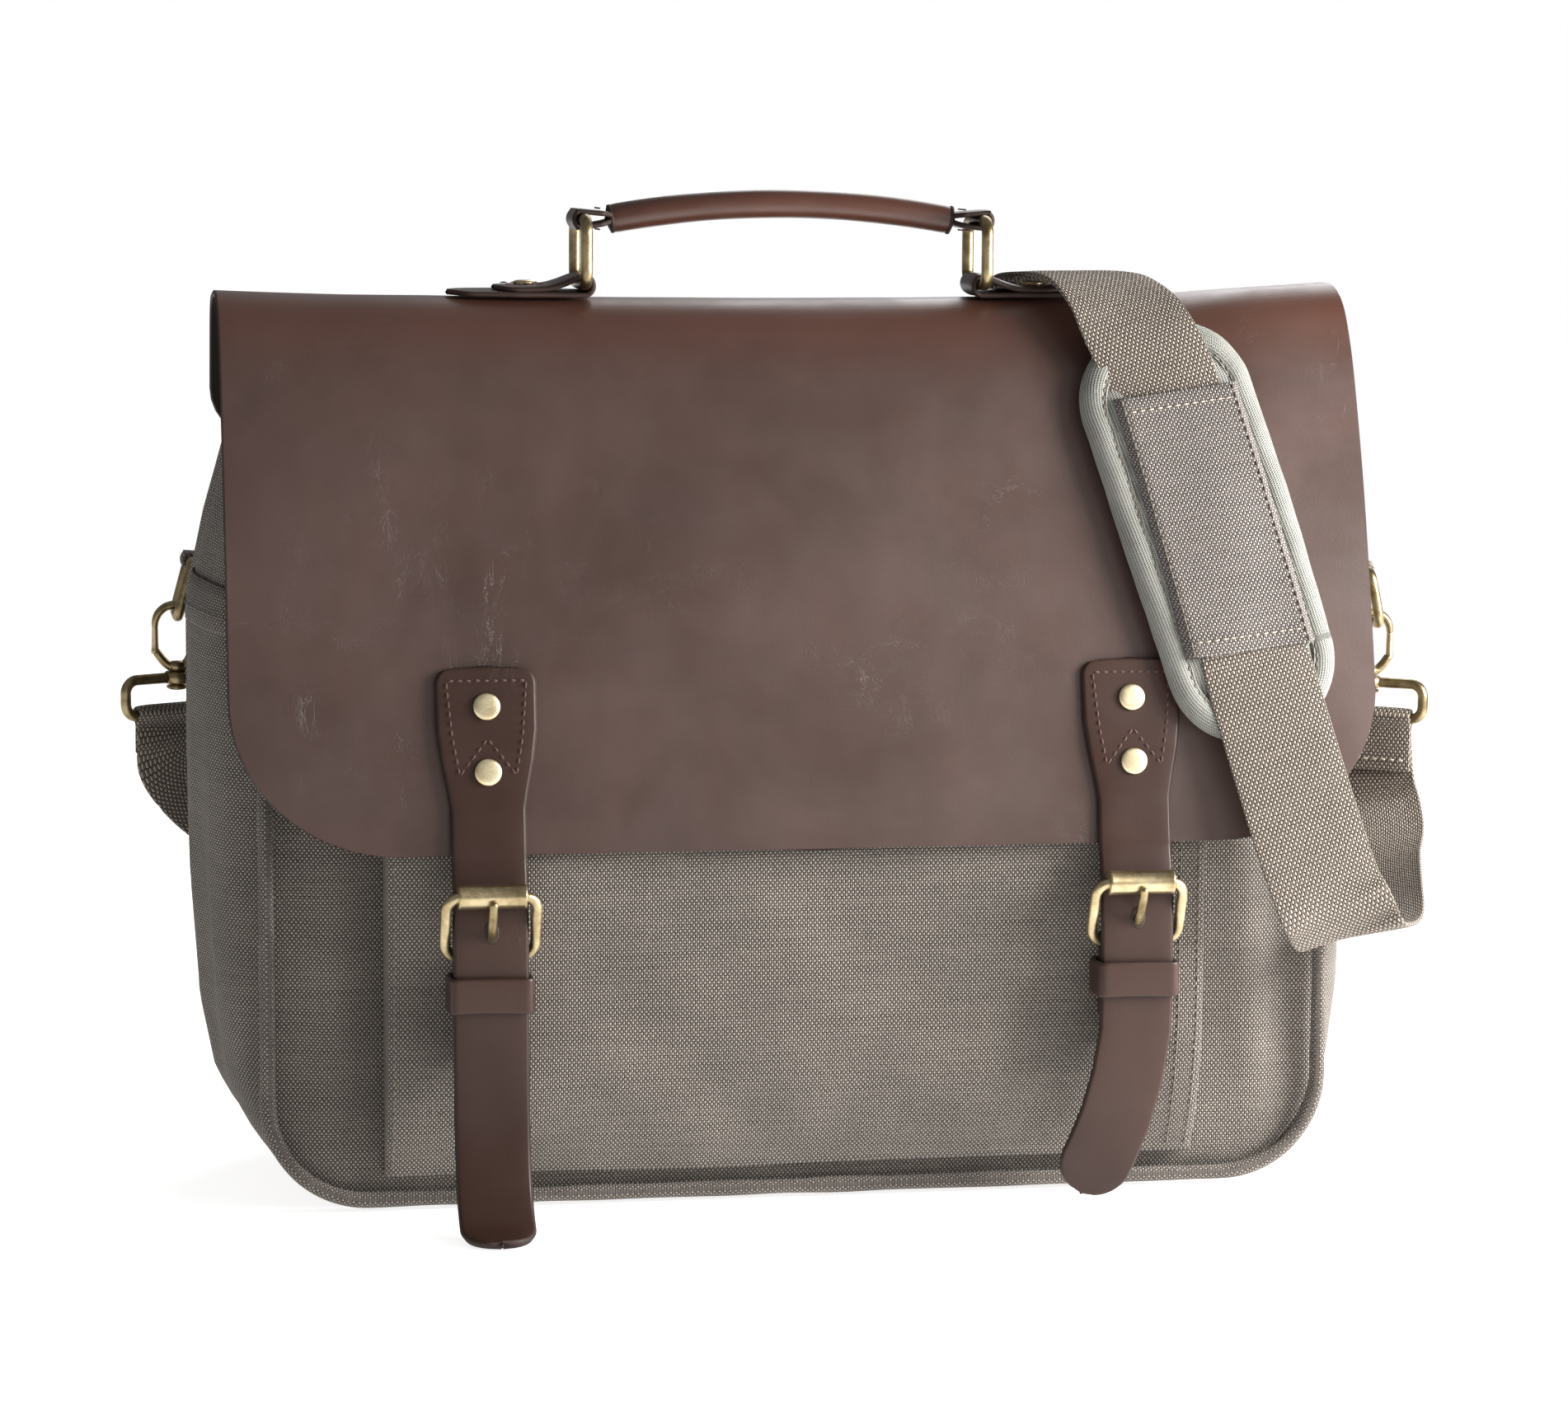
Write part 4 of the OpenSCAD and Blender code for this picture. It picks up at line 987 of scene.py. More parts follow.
def flap_surface():
    """Outer face of the yoke and flap, from the yoke's lower edge to the flap's lower edge."""
    path = even(FLAP_PATH, 700, 10)
    total = lengths(path)[-1]
    # rows close together at the rounded corners of both ends
    front_len, back_len = 53.0, 20.5
    s = np.concatenate([back_len * (1 - np.cos(np.linspace(0, math.pi / 2, 9)))[:-1],
                        np.linspace(back_len, total - front_len, 62),
                        total - front_len + front_len * np.sin(np.linspace(0, math.pi / 2, 22))[1:]])
    s = s[s <= total]
    mid = at(path, s)
    t = unit(np.gradient(mid, axis=0))
    n = np.stack([-t[:, 1], t[:, 0]], 1) * -1
    outer = mid + n * FLAP_T
    cols = 97
    u = np.sin(np.linspace(-math.pi / 2, math.pi / 2, cols)) * 0.35 + np.linspace(-1, 1, cols) * 0.65
    g, nn, flat = [], [], []
    for k, dist in enumerate(s):
        cut = 0.0
        if dist > total - front_len:
            cut = 57 * (1 - math.sqrt(max(1 - ((dist - total + front_len) / front_len) ** 2, 0)))
        if dist < back_len:
            cut = 26 * (1 - math.sqrt(max(1 - ((back_len - dist) / back_len) ** 2, 0)))
        xl, xr = FLAP_L + cut, FLAP_R - cut
        x = (xl + xr) / 2 + u * (xr - xl) / 2
        g.append(np.stack([x, np.full(cols, outer[k, 0]), np.full(cols, outer[k, 1])], 1))
        nn.append(np.tile([0, n[k, 0], n[k, 1]], (cols, 1)))
        flat.append(np.stack([x, np.full(cols, dist), np.zeros(cols)], 1))
    return A(g), A(nn), A(flat)


fg, fn, fflat = flap_surface()
wave = 0.75 * ripple(fg[..., 0], fflat[..., 1], 71, 170) + 0.22 * ripple(fg[..., 0], fflat[..., 1], 72, 55)
dent = -2.2 * np.exp(-((fg[..., 0] - 128) / 26) ** 2) * np.exp(-((fflat[..., 1] - 88) / 26) ** 2)
droop = -1.0 * np.exp(-((fg[..., 0] + 20) / 90) ** 2) * np.exp(-((fflat[..., 1] - 85) / 30) ** 2)
quiet = np.clip((fflat[..., 1] - 40) / 40, 0, 1)
# the leather lies still under the handle's tabs and the buckle straps
aside = np.abs(fg[..., 0])
tabs = np.clip(np.abs(aside - 93) / 30 - 0.4, 0, 1) * np.clip(np.abs(aside - 112) / 30 - 0.4, 0, 1)
fg = fg + fn * ((wave * (0.35 + 0.65 * tabs) + dent + droop) * quiet)[..., None]
rise = np.clip((fg[..., 2] - 215) / 90, 0, 1) ** 1.5
left_corner = np.clip((-fg[..., 0] - 100) / 98, 0, 1) ** 1.5
right_corner = np.clip((fg[..., 0] - 104) / 96, 0, 1) ** 1.3
fg[..., 2] += rise * (2.2 * left_corner + 5.0 * right_corner)
flap = slab("flap_leather_sheet", fg, FLAP_T - 0.2, ["flap", "edge", "suede"], flat=fflat, rim=0.28,
            flip=True)
flap.data.set_sharp_from_angle(angle=math.radians(50))
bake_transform(flap)
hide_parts("flap", "flap_yoke")


yoke_rows = []
for inset_z in (4.0, 9.5):
    zz = 256 + inset_z
    ys = float(np.interp(zz, [256, 281, 299.6], [40.2, 36.9, 32.0])) + 0.15
    yoke_rows.append((A([(x, ys, zz) for x in np.linspace(-178, 180, 260)]), (0, 0.98, 0.14)))
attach(stitches("yoke_stitches", yoke_rows, "thread_brown", 2.8, 1.2, 0.34), "bag")


# ------------------------------------------------------------------ buckle straps
STRAP_X, STRAP_T = 112.0, 2.6
STRAP_Z, STRAP_FRONT = [127, 160, 188.5], [-76.7, -71.05, -64.42]
STRAP_FACE = [[y, z] for y, z in zip(STRAP_FRONT, STRAP_Z)][::-1]
STRAP_HANG = [[-77.2, 124], [-79.6, 116], [-81.4, 104], [-82.2, 92], [-82.8, 78], [-83.4, 62]]
TAIL_LEFT = [[-84.6, 44], [-87.5, 27], [-93, 13], [-101, 4.4], [-108, 1.2], [-116, 0.4]]
TAIL_RIGHT = [[-83.6, 44], [-82.6, 26], [-80.6, 12], [-78.6, 2]]
HALF_W = ([142, 149, 158, 168, 182, 190], [12, 13.2, 15, 16.4, 16.5, 16.5])
BEND = ([12.6, 18, 31, 46, 62, 74], [97.6, 100, 105, 109, 111.6, 112])


def buckle_strap(side, name):
    path = even(STRAP_FACE, 60, 1, False)
    rest = even([STRAP_FACE[-1]] + STRAP_HANG + (TAIL_LEFT if side < 0 else TAIL_RIGHT), 190, 12)
    path = np.concatenate([path, rest[1:]])
    path = even(path, 230, 1, False)
    along = lengths(path)
    cut = along[-1] - (0 if side < 0 else 2)
    keep_rows = along <= cut + 1e-6
    path = path[keep_rows]
    t = unit(np.gradient(path, axis=0))
    n = np.stack([t[:, 1], -t[:, 0]], 1)
    outer = path + n * STRAP_T
    z = path[:, 1]
    if side < 0:
        cx = np.full(len(z), -STRAP_X)
    else:
        cx = np.where(z < 74, line(z, BEND), STRAP_X)
        cx = np.where(z < 12.6, 97.6 - (12.6 - z) * 0.42, cx)
    width = 2 * np.where(z > 136, line(z, HALF_W), 12.0)
    dist = lengths(path)
    r = 5.5
    width = width - np.where(dist < r, 2 * (r - np.sqrt(np.maximum(r * r - (r - dist) ** 2, 0))), 0)
    mid = np.stack([cx, outer[:, 0], outer[:, 1]], 1)
    across = np.tile([1.0, 0, 0], (len(mid), 1))
    if side > 0:
        low = z < 74
        slope = np.gradient(cx, z)
        across[low] = unit(np.stack([np.ones(low.sum()), np.zeros(low.sum()), -slope[low]], 1))
    o = strap(name, mid, across, width, STRAP_T - 0.1, ["strap", "edge", "suede"], (0, 12.5), cols=13)
    keep(o, "flap", f"buckle_strap_{'left' if side < 0 else 'right'}", slot="strap_leather")
    # the sewn outline with its notch
    outline = [(-9.6, 153.4), (-11.9, 166), (-13.6, 184.7), (13.6, 184.7), (11.9, 166), (9.6, 153.4),
               (0, 165.6), (-9.6, 153.4)]
    runs = []
    for (x0, z0), (x1, z1) in zip(outline[:-1], outline[1:]):
        pts = []
        for q in np.linspace(0, 1, 16):
            zz = z0 + (z1 - z0) * q
            yy = float(np.interp(zz, STRAP_Z, STRAP_FRONT)) - STRAP_T / math.cos(math.radians(12)) + 0.1
            pts.append((side * STRAP_X + x0 + (x1 - x0) * q, yy, zz))
        runs.append((A(pts), (0, -0.973, 0.23)))
    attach(stitches(name + "_stitches", runs, "thread_brown", 2.1, 0.75, 0.36, 0.35), "flap")


def rivets(side, name):
    parts = []
    for k, z in enumerate((175.5, 154)):
        tilt = math.radians(13.1 if z > 160 else 9.4)
        n = A([0, -math.cos(tilt), math.sin(tilt)])
        y = float(np.interp(z, STRAP_Z, STRAP_FRONT))
        base = A([side * STRAP_X, y, z]) + n * (STRAP_T + 0.05)
        prof = [[0.01, 0], [4.3, 0], [4.6, 0.3], [4.62, 0.7], [4.45, 1.0], [4.1, 1.2], [3.2, 1.36],
                [1.8, 1.44], [0.02, 1.47]]
        parts.append(lathe(f"{name}_{k}", prof, base, n, "brass_pale", 40))
    bpy.ops.object.select_all(action="DESELECT")
    for o in parts:
        o.select_set(True)
    bpy.context.view_layer.objects.active = parts[0]
    bpy.ops.object.join()
    parts[0].name = name
    keep(parts[0], "flap", f"strap_rivets_{'left' if side < 0 else 'right'}", slot="brass")


HEEL, TOP_BAR = A([-77.9, 92.0]), A([-87.0, 114.0])


def wire_loop(name, body, node, half_a, half_b, corner, wire, origin, a_dir, b_dir, mat="brass"):
    """A closed wire ring: half_a and half_b are its half sizes along a_dir and b_dir."""
    a, b = unit(A(a_dir, float)), unit(A(b_dir, float))
    pts = []
    for sa, sb, start in ((1, 1, 0), (-1, 1, 90), (-1, -1, 180), (1, -1, 270)):
        for q in np.linspace(0, 90, 14):
            w = math.radians(start + q)
            pa = sa * (half_a - corner) + corner * math.cos(w)
            pb = sb * (half_b - corner) + corner * math.sin(w)
            pts.append(A(origin, float) + a * pa + b * pb)
    pts = A(pts)
    ring = np.concatenate([pts, pts[:1]])
    ring = at(ring, np.linspace(0, lengths(ring)[-1], 121))[:-1]
    o = tube(name, ring, wire, mat, 14, True, np.cross(a, b))
    return keep(o, body, *([node] if node else []), slot="brass")


def buckle(side, name):
    x = side * STRAP_X
    up = A([0, *(TOP_BAR - HEEL)])
    half = np.linalg.norm(up) / 2
    mid = A([x, *((TOP_BAR + HEEL) / 2)])
    wire_loop(f"buckle_frame_{name}", "flap", f"buckle_{name}", 15.4, half, 5.5, 1.9, mid, (1, 0, 0), up,
              "brass")
    # the roller: a rolled plate with slightly flared ends
    prof = [[2.1, -11.4], [4.0, -11.5], [4.22, -11.2], [4.2, -10.6], [4.12, -10.2], [4.12, 10.2],
            [4.2, 10.6], [4.22, 11.2], [4.0, 11.5], [2.1, 11.4]]
    o = lathe(f"roller_tube_{name}", prof, (x, *TOP_BAR), (1, 0, 0), "brass", 40)
    keep(o, f"roller_{name}", f"roller_{name}", slot="brass")
    lean = math.radians(36.1)
    d = A([0, -math.sin(lean), math.cos(lean)])
    out = A([0, -math.cos(lean), -math.sin(lean)])
    base = A([x, *HEEL])
    s = np.linspace(3.2, 25.4, 26)
    pts = base + s[:, None] * d + out * (0.9 * np.sin((s - 3.2) / 22.2 * math.pi)[:, None] - 0.1)
    width = np.interp(s, [3.2, 8, 20, 24.6, 25.4], [1.95, 1.75, 1.6, 1.45, 0.9])
    o = tube(f"prong_bar_{name}", pts, width, "brass_dark", 14, False, out, 0.78)
    keep(o, f"prong_{name}", f"prong_{name}", slot="brass")
    ang = np.linspace(0.35, math.tau - 0.35, 30)
    eye = A([x, *HEEL]) + np.stack([0 * ang, np.sin(ang) * 2.9, -np.cos(ang) * 2.9], 1)
    e = tube(f"prong_eye_{name}", eye, 0.8, "brass_dark", 10, False, (1, 0, 0), 2.2)
    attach(e, f"prong_{name}")
    # the punched hole that the prong drops into, a thin dark disc on the strap: painted shade for the hole's
    # depth, and the dark cut edge round it
    hole_n = A([0, -0.99, 0.1])
    prof = [[0.02, 0.05], [1.9, 0.06], [2.3, 0.12], [2.6, 0.02]]
    hole = lathe(f"strap_hole_{name}", prof, (x, -84.25, 101.2), hole_n, "dark_edge", 24)
    # the hole is pulled long by the prong
    to_middle = Matrix.Translation((-x * MM, 0, -0.1012))
    back_again = Matrix.Translation((x * MM, 0, 0.1012))
    hole.data.transform(back_again @ Matrix.Diagonal((1, 1, 1.5, 1)) @ to_middle)
    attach(hole, "flap")


def keeper(side, name):
    x = side * STRAP_X
    y0, y1 = -87.0, -73.1
    loop = []
    for cx, cy, start in ((x + 11.6, y1 - 1.8, 0), (x - 11.6, y1 - 1.8, 90), (x - 11.6, y0 + 1.8, 180),
                          (x + 11.6, y0 + 1.8, 270)):
        for q in np.linspace(0, 90, 7):
            w = math.radians(start + q)
            loop.append((cx + 2.0 * math.cos(w), cy + 1.8 * math.sin(w)))
    ring = A(loop + loop[:1])
    ring = at(ring, np.linspace(0, lengths(ring)[-1], 97))[:-1]
    out = unit(np.roll(ring, -1, 0) - np.roll(ring, 1, 0))
    out = np.stack([out[:, 1], -out[:, 0]], 1)
    prof = [(0.0, 0), (0.5, 0.0), (0.8, 0.35), (0.85, 1.0), (0.85, 11.0), (0.8, 11.65), (0.5, 12),
            (0.0, 12), (-0.5, 12), (-0.8, 11.6), (-0.8, 0.4), (-0.5, 0)]
    bow = 0.5 * np.sin(np.linspace(0, math.tau, 96, endpoint=False) * 2)
    g = A([[(p[0] + o[0] * h, p[1] + o[1] * h, 74 + v + b) for p, o, b in zip(ring, out, bow * 0.3)]
           for h, v in prof])
    verts = g.reshape(-1, 3)
    faces = grid_faces(len(prof), 96, 0, False, True, True)
    fm = [1 if i // 96 in (0, 1, 5, 6, 7, 8, 10, 11) else 0 for i in range(len(faces))]
    o = build(f"keeper_loop_{name}", verts, faces, ["keeper", "dark_edge"], fm)
    keep(o, f"keeper_{name}", f"keeper_{name}", slot="keeper_leather")


def chape(side, name):
    x = side * STRAP_X
    path = [(-75.6, z) for z in np.linspace(57.6, 88, 24)]
    path += [(-74.2, 90.5), (-73.9, 93.4), (-75.6, 96.0), (-78.4, 96.2)]
    p = even(path, 70, 4)
    mid = np.stack([np.full(len(p), x), p[:, 0] - 0.9, p[:, 1]], 1)
    o = strap(f"chape_tab_{name}", mid, np.tile([1.0, 0, 0], (len(p), 1)), 23.2, 1.9,
              ["strap", "edge", "suede"], (11, 0), cols=9)
    keep(o, "flap", f"chape_{name}", slot="strap_leather")


for side, name in ((-1, "left"), (1, "right")):
    buckle_strap(side, f"buckle_strap_hide_{name}")
    rivets(side, f"strap_rivet_caps_{name}")
    buckle(side, name)
    keeper(side, name)
    chape(side, name)

# ------------------------------------------------------------------ handle, its rings and tabs
RING_X, RING_LOW, RING_HIGH = 71.0, 316.1, 338.5


def handle_side(side, name):
    wire_loop(f"handle_ring_wire_{name}", f"handle_ring_{name}", f"handle_ring_{name}", 16.2,
              (RING_HIGH - RING_LOW) / 2, 5, 2.1, (side * RING_X, 0, (RING_LOW + RING_HIGH) / 2), (0, 1, 0),
              (0, 0, 1),
              "brass_dark")
    # tab: under the ring's bar, round it, and back over itself
    r = 2.4 + 1.9
    wrap = [(RING_X - r * math.sin(q), RING_LOW - r * math.cos(q)) for q in np.linspace(0.15, 2.75, 12)]
    pts = [(118, 312.15), (100, 312.2), (84, 312.1), (76, 311.9)] + wrap
    pts += [(73.5, 319.6), (79, 317.6), (84, 316.3), (92, 315.9), (102, 315.8)]
    p = even(pts, 120, 6)
    mid = np.stack([side * p[:, 0], 0 * p[:, 0], p[:, 1]], 1)
    along = lengths(p)
    width = np.interp(along, [0, 6, 24, 36, 48, 62, along[-1]], [15, 19, 22, 21, 20, 20, 20])
    o = strap(f"handle_tab_hide_{name}", mid, np.tile([0, float(side), 0], (len(p), 1)), width, 1.8,
              ["strap", "edge", "strap"], (9, 9), cols=11)
    co = mesh_points(o.data)
    co[:, 2] -= 0.0009 * np.clip(-co[:, 1] / 0.011, 0, 1.2) ** 2 * np.clip((0.324 - co[:, 2]) / 0.008, 0, 1)
    o.data.vertices.foreach_set("co", co.ravel())
    keep(o, "flap", f"handle_tab_{name}", slot="strap_leather")
    prof = [[0.01, 0], [3.6, 0], [3.85, 0.3], [3.8, 0.8], [3.3, 1.2], [2.0, 1.42], [0.02, 1.5]]
    cap = lathe(f"tab_rivet_cap_{name}", prof, (side * 91, 0, 315.85), (0, 0, 1), "brass", 32)
    keep(cap, "flap", "tab_rivets", slot="brass")
    rows = []
    for y in (-8.3, 8.3):
        rows.append((A([(side * x, y, 316.05) for x in np.linspace(84.5, 99, 14)]), (0, 0, 1)))
    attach(stitches(f"tab_stitches_{name}", rows, "thread_brown", 2.1, 0.8, 0.32), "flap")
    # the handle's own strap, looped round the ring's upper bar
    wrap = [(RING_X + r * math.sin(q), RING_HIGH - r * math.cos(q))
            for q in np.linspace(0.5, math.pi - 0.5, 12)]
    pts = [(50, RING_HIGH + 1.0), (59, RING_HIGH - 1.0), (64, RING_HIGH - 2.6)] + wrap + \
        [(64, RING_HIGH + 3.0), (59, RING_HIGH + 2.6), (50, RING_HIGH + 4.6)]
    p = even(pts, 90, 6)
    mid = np.stack([side * p[:, 0], 0 * p[:, 0], p[:, 1]], 1)
    width = np.interp(p[:, 0], [52, 60, 64, 76], [5.6, 7.5, 17, 18])
    o = strap(f"handle_strap_loop_{name}", mid, np.tile([0, float(-side), 0], (len(p), 1)), width, 1.7,
              ["strap", "edge", "suede"], (0, 0), cols=9)
    keep(o, "handle", "handle_strap", slot="strap_leather")
    rows = [(A([(side * 65.2, y, RING_HIGH + 3.75) for y in np.linspace(-6.8, 6.8, 10)]), (0, 0, 1)),
            (A([(side * 65.2, y, RING_HIGH - 3.4) for y in np.linspace(-6.8, 6.8, 10)]), (0, 0, -1))]
    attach(stitches(f"handle_strap_stitches_{name}", rows, "thread_brown", 1.9, 0.8, 0.3), "handle")


def grip():
    half, rise = 61.0, 5.5
    rad = (half * half + rise * rise) / (2 * rise)
    a = math.asin(half / rad)
    q = np.linspace(-a, a, 110)
    pts = np.stack([rad * np.sin(q), 0 * q, RING_HIGH + rise - rad + rad * np.cos(q)], 1)
    x = pts[:, 0]
    end = np.clip((half - np.abs(x)) / 3.0, 0, 1)
    r = 4.95 * (0.93 + 0.07 * np.sqrt(end)) + 0.12 * ripple(x, 0 * x, 91, 26)
    o = tube("grip_wrap", pts, r, "grip", 28, False, (0, 0, 1), 1.0)
    keep(o, "handle", "handle_grip", slot="strap_leather")
    for side, name in ((-1, "left"), (1, "right")):
        s = side * np.linspace(a * 0.985, a * 1.0, 4)
        p = np.stack([rad * np.sin(s), 0 * s, RING_HIGH + rise - rad + rad * np.cos(s)], 1)
        c = tube(f"grip_cut_end_{name}", p, 5.05, "edge", 28, False, (0, 0, 1))
        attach(c, "handle")
    low = pts + np.stack([0 * x, 0 * x + 2.2, 0 * x - 4.35], 1)
    seam_ridge = tube("grip_seam", low[3:-3], 0.55, "dark_edge", 8)
    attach(seam_ridge, "handle")
    run = (low[5:-5] + [0, 1.1, 0.35], (0, 0.7, -0.7))
    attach(stitches("grip_stitches", [run], "thread_brown", 2.4, 0.9, 0.3), "handle")


for side, name in ((-1, "left"), (1, "right")):
    handle_side(side, name)
grip()

# ------------------------------------------------------------------ side clips
CLIP = {"left": (-1, A([-205.5, 44, 216]), 15, 28), "right": (1, A([224.5, 30, 210]), 12, 35)}


def clip_points(name):
    """Side, ring's top and bottom, middles of the jaw and the swivel, and the loop's two directions."""
    side, top, tilt, yaw = CLIP[name]
    t, y = math.radians(tilt), math.radians(yaw)
    low = top + A([side * 20 * math.sin(t), 0, -20 * math.cos(t)])
    jaw = low - A([0, 0, 7.8])
    e1 = A([math.cos(y), -side * math.sin(y), 0])
    e2 = A([side * math.sin(y), math.cos(y), 0])
    return side, top, low, jaw, jaw - A([0, 0, 15]), e1, e2


def side_clip(name):
    side, top, low, jaw, swivel, e1, _ = clip_points(name)
    wire_loop(f"side_ring_wire_{name}", f"side_ring_{name}", f"side_ring_{name}", 12.5, 10, 4, 1.9,
              (top + low) / 2, (0, 1, 0), top - low, "brass_dark")
    # canvas loop sewn into the seam
    root = -190 if side < 0 else 199.5
    r = 1.9 + 0.4 + 1.4
    wrap = [(top[0] + side * r * math.sin(q), top[2] - r * math.cos(q))
            for q in np.linspace(0.5, math.pi - 0.5, 9)]
    mid_x = (root + top[0]) / 2
    pts = [(root - side * 3, top[2] - 1.2), (mid_x, top[2] - 2.2)] + wrap
    pts += [(mid_x, top[2] + 2.4), (root - side * 3, top[2] + 1.2)]
    p = even(pts, 60, 5)
    mid = np.stack([p[:, 0], 0 * p[:, 0] + top[1], p[:, 1]], 1)
    o = strap(f"ring_anchor_loop_{name}", mid, np.tile([0, float(-side), 0], (len(p), 1)), 12, 1.5,
              ["canvas_hem", "canvas_hem", "canvas_hem"], (0, 0), cols=9)
    keep(o, "bag", f"ring_anchor_{name}", slot="canvas")
    # snap hook: its jaw, post and gate
    path = A([(7.7, 3.4), (7.5, 5.4), (6.4, 8.0), (4.0, 10.2), (0.6, 11.1), (-3.0, 10.5), (-5.9, 8.4),
              (-7.5, 5.2), (-7.7, 1.6), (-6.9, -2.6), (-5.3, -6.6), (-3.7, -9.8), (-1.6, -11.2),
              (1.2, -11.2), (3.6, -10.2), (5.8, -7.8), (7.3, -5.6)])
    jaw_path = even(np.stack([side * path[:, 0], 0 * path[:, 0], path[:, 1]], 1), 90, 5)
    width = np.interp(np.linspace(0, 1, 90), [0, 0.08, 0.5, 0.75, 1], [1.2, 1.5, 1.6, 1.9, 1.5])
    o = tube(f"hook_jaw_{name}", jaw + jaw_path, width, "brass_dark", 14, False, (0, 1, 0), 1.3)
    keep(o, f"hook_{name}", f"hook_{name}", slot="brass")
    prof = [[0.02, 1.6], [2.8, 1.3], [3.4, 0.4], [3.4, -1.2], [2.4, -2.0], [2.2, -6.9], [3.7, -7.3],
            [3.8, -8.1], [2.6, -8.7], [0.02, -8.8]]
    post = lathe(f"hook_post_{name}", prof, jaw + A([0, 0, -10.6]), (0, 0, 1), "brass_dark", 28)
    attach(post, f"hook_{name}")
    gate_path = A([(side * 7.7, 0, z) for z in np.linspace(-6.2, 4.0, 14)])
    width = np.interp(np.linspace(0, 1, 14), [0, 0.2, 1], [1.5, 1.3, 1.1])
    o = tube(f"gate_bar_{name}", jaw + gate_path, width, "brass", 12, False, (0, 1, 0), 1.0)
    keep(o, f"gate_{name}", f"hook_gate_{name}", slot="brass")
    # the strap's loop and its swivel boss
    wire_loop(f"strap_loop_wire_{name}", f"strap_loop_{name}", f"strap_loop_{name}", 21, 6.5, 4.5, 1.9,
              swivel + A([0, 0, -6.5]), e1, (0, 0, 1), "brass_dark")
    prof = [[2.5, 2.2], [3.9, 2.2], [4.7, 1.5], [4.8, 0], [4.7, -1.5], [3.9, -2.2], [2.5, -2.2]]
    boss = lathe(f"loop_boss_{name}", prof, swivel, (0, 0, 1), "brass_dark", 30)
    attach(boss, f"strap_loop_{name}")


for name in CLIP:
    side_clip(name)

# ------------------------------------------------------------------ shoulder strap
WEB_T = 1.8
LOOP_DROP = 13.0
RUN_Y = ([98, 112, 128, 166, 205, 250, 290, 303], [-90, -89, -86, -79, -70, -56, -41, -34])
RIGHT_BAR = clip_points("right")[4] - A([0, 0, LOOP_DROP])
# [middle, across, width] from the left loop, behind the bag, over the top, down the front
# and up to the right loop
BACK = [[[-209, 45.4, 144.5], [0.9, 0.43, 0.08], 34], [[-200.6, 51.8, 134.5], [0.87, 0.46, 0.22], 36.5],
        [[-189.8, 58.8, 126], [0.82, 0.52, 0.3], 38], [[-176.5, 64, 118], [0.75, 0.58, 0.35], 38],
        [[-158, 69.5, 90], [0.5, 0.8, 0.4], 38], [[-124, 72, 64], [0.25, 1, 0.15], 38],
        [[-72, 73, 48], [0, 1, 0], 38], [[-18, 72, 62], [0.55, 1, 0.45], 38],
        [[26, 68, 98], [1, 0.9, 0.7], 38], [[52, 58, 155], [1, 0.4, 0.35], 38],
        [[70, 50, 215], [1, 0.1, 0.3], 38], [[84, 44.6, 270], [1, 0.03, 0.25], 38],
        [[92.8, 39.2, 300.6], [1, 0, 0.15], 38]]
RIDGE = [[[98.6, 23.6, 316], [1, 0.14, 0], 38], [[104.4, 6, 319.7], [1, 0.22, 0], 38],
         [[111, -13, 318.8], [1, 0.2, 0], 38], [[116.2, -27.6, 311.8], [1, 0.1, 0.06], 38]]
FRONT = [[[120.5, -36.6, 301.6], [0.97, 0.03, 0.24], 38], [[126.6, -42.2, 288], [0.96, 0, 0.28], 38],
         [[131.8, -47.9, 273], [0.962, 0, 0.27], 36.6], [[139.6, -56.9, 250], [0.962, 0, 0.27], 36],
         [[151.4, -70.9, 205], [0.962, 0, 0.26], 36], [[155.4, -74.9, 187], [0.96, 0, 0.27], 37.6],
         [[161.0, -79.9, 166], [0.96, 0, 0.27], 38], [[171.0, -86.6, 131], [0.955, 0, 0.29], 38]]
LOWER = [[[178, -90, 110], [0.955, 0, 0.28], 38], [[182.6, -88.8, 101.4], [0.95, -0.1, 0.28], 38],
         [[186.4, -85.2, 95.6], [0.93, -0.24, 0.28], 38], [[191.4, -79.6, 92.6], [0.87, -0.44, 0.24], 38],
         [[202.4, -62, 92.6], [0.6, -0.78, 0.18], 38], [[210.4, -38, 97.2], [0.46, -0.87, 0.14], 38],
         [[218, -11, 104.8], [0.54, -0.84, 0.08], 38], [[225.4, 11.4, 113.4], [0.72, -0.68, 0], 38],
         [[228.8, 26.5, 122], [0.81, -0.58, 0], 37], [[229.2, 30.6, 133], [0.82, -0.57, 0], 35]]


def end_fold(name, length):
    """The webbing round a loop's lower bar: [middle, across, width] rows, the turned-back end first."""
    side, _, _, _, swivel, e1, e2 = clip_points(name)
    bar, turn = swivel - A([0, 0, LOOP_DROP]), -side
    r = 1.9 + 0.3 + 0.9
    rows = [[bar + turn * e2 * 0.95 + A([0, 0, -d]), e1, 33] for d in np.linspace(length, 3, 5)]
    rows += [[bar + turn * e2 * r * math.cos(q) + A([0, 0, r * math.sin(q)]), e1, 33]
             for q in np.linspace(0.3, math.pi - 0.3, 9)]
    return rows + [[bar - turn * e2 * 0.95 + A([0, 0, -d]), e1, 33] for d in (3, 9)]


def rows_to(rows, steps):
    """Smooth the rows and return middle, across and width."""
    mid = catmull([r[0] for r in rows], steps)
    across = catmull([r[1] for r in rows], steps)
    return mid, across, catmull([[r[2]] for r in rows], steps)[:, 0]


left_fold, right_fold = end_fold("left", 13.0), end_fold("right", 19.4)[::-1]
STEPS = 8
W_MID, W_ACR, W_WID = rows_to(left_fold + BACK + RIDGE + FRONT + LOWER + right_fold, STEPS)
COUNT = [len(left_fold), len(BACK), len(RIDGE), len(FRONT), len(LOWER), len(right_fold)]
MARK = np.concatenate([[0], np.cumsum(COUNT)]) * STEPS


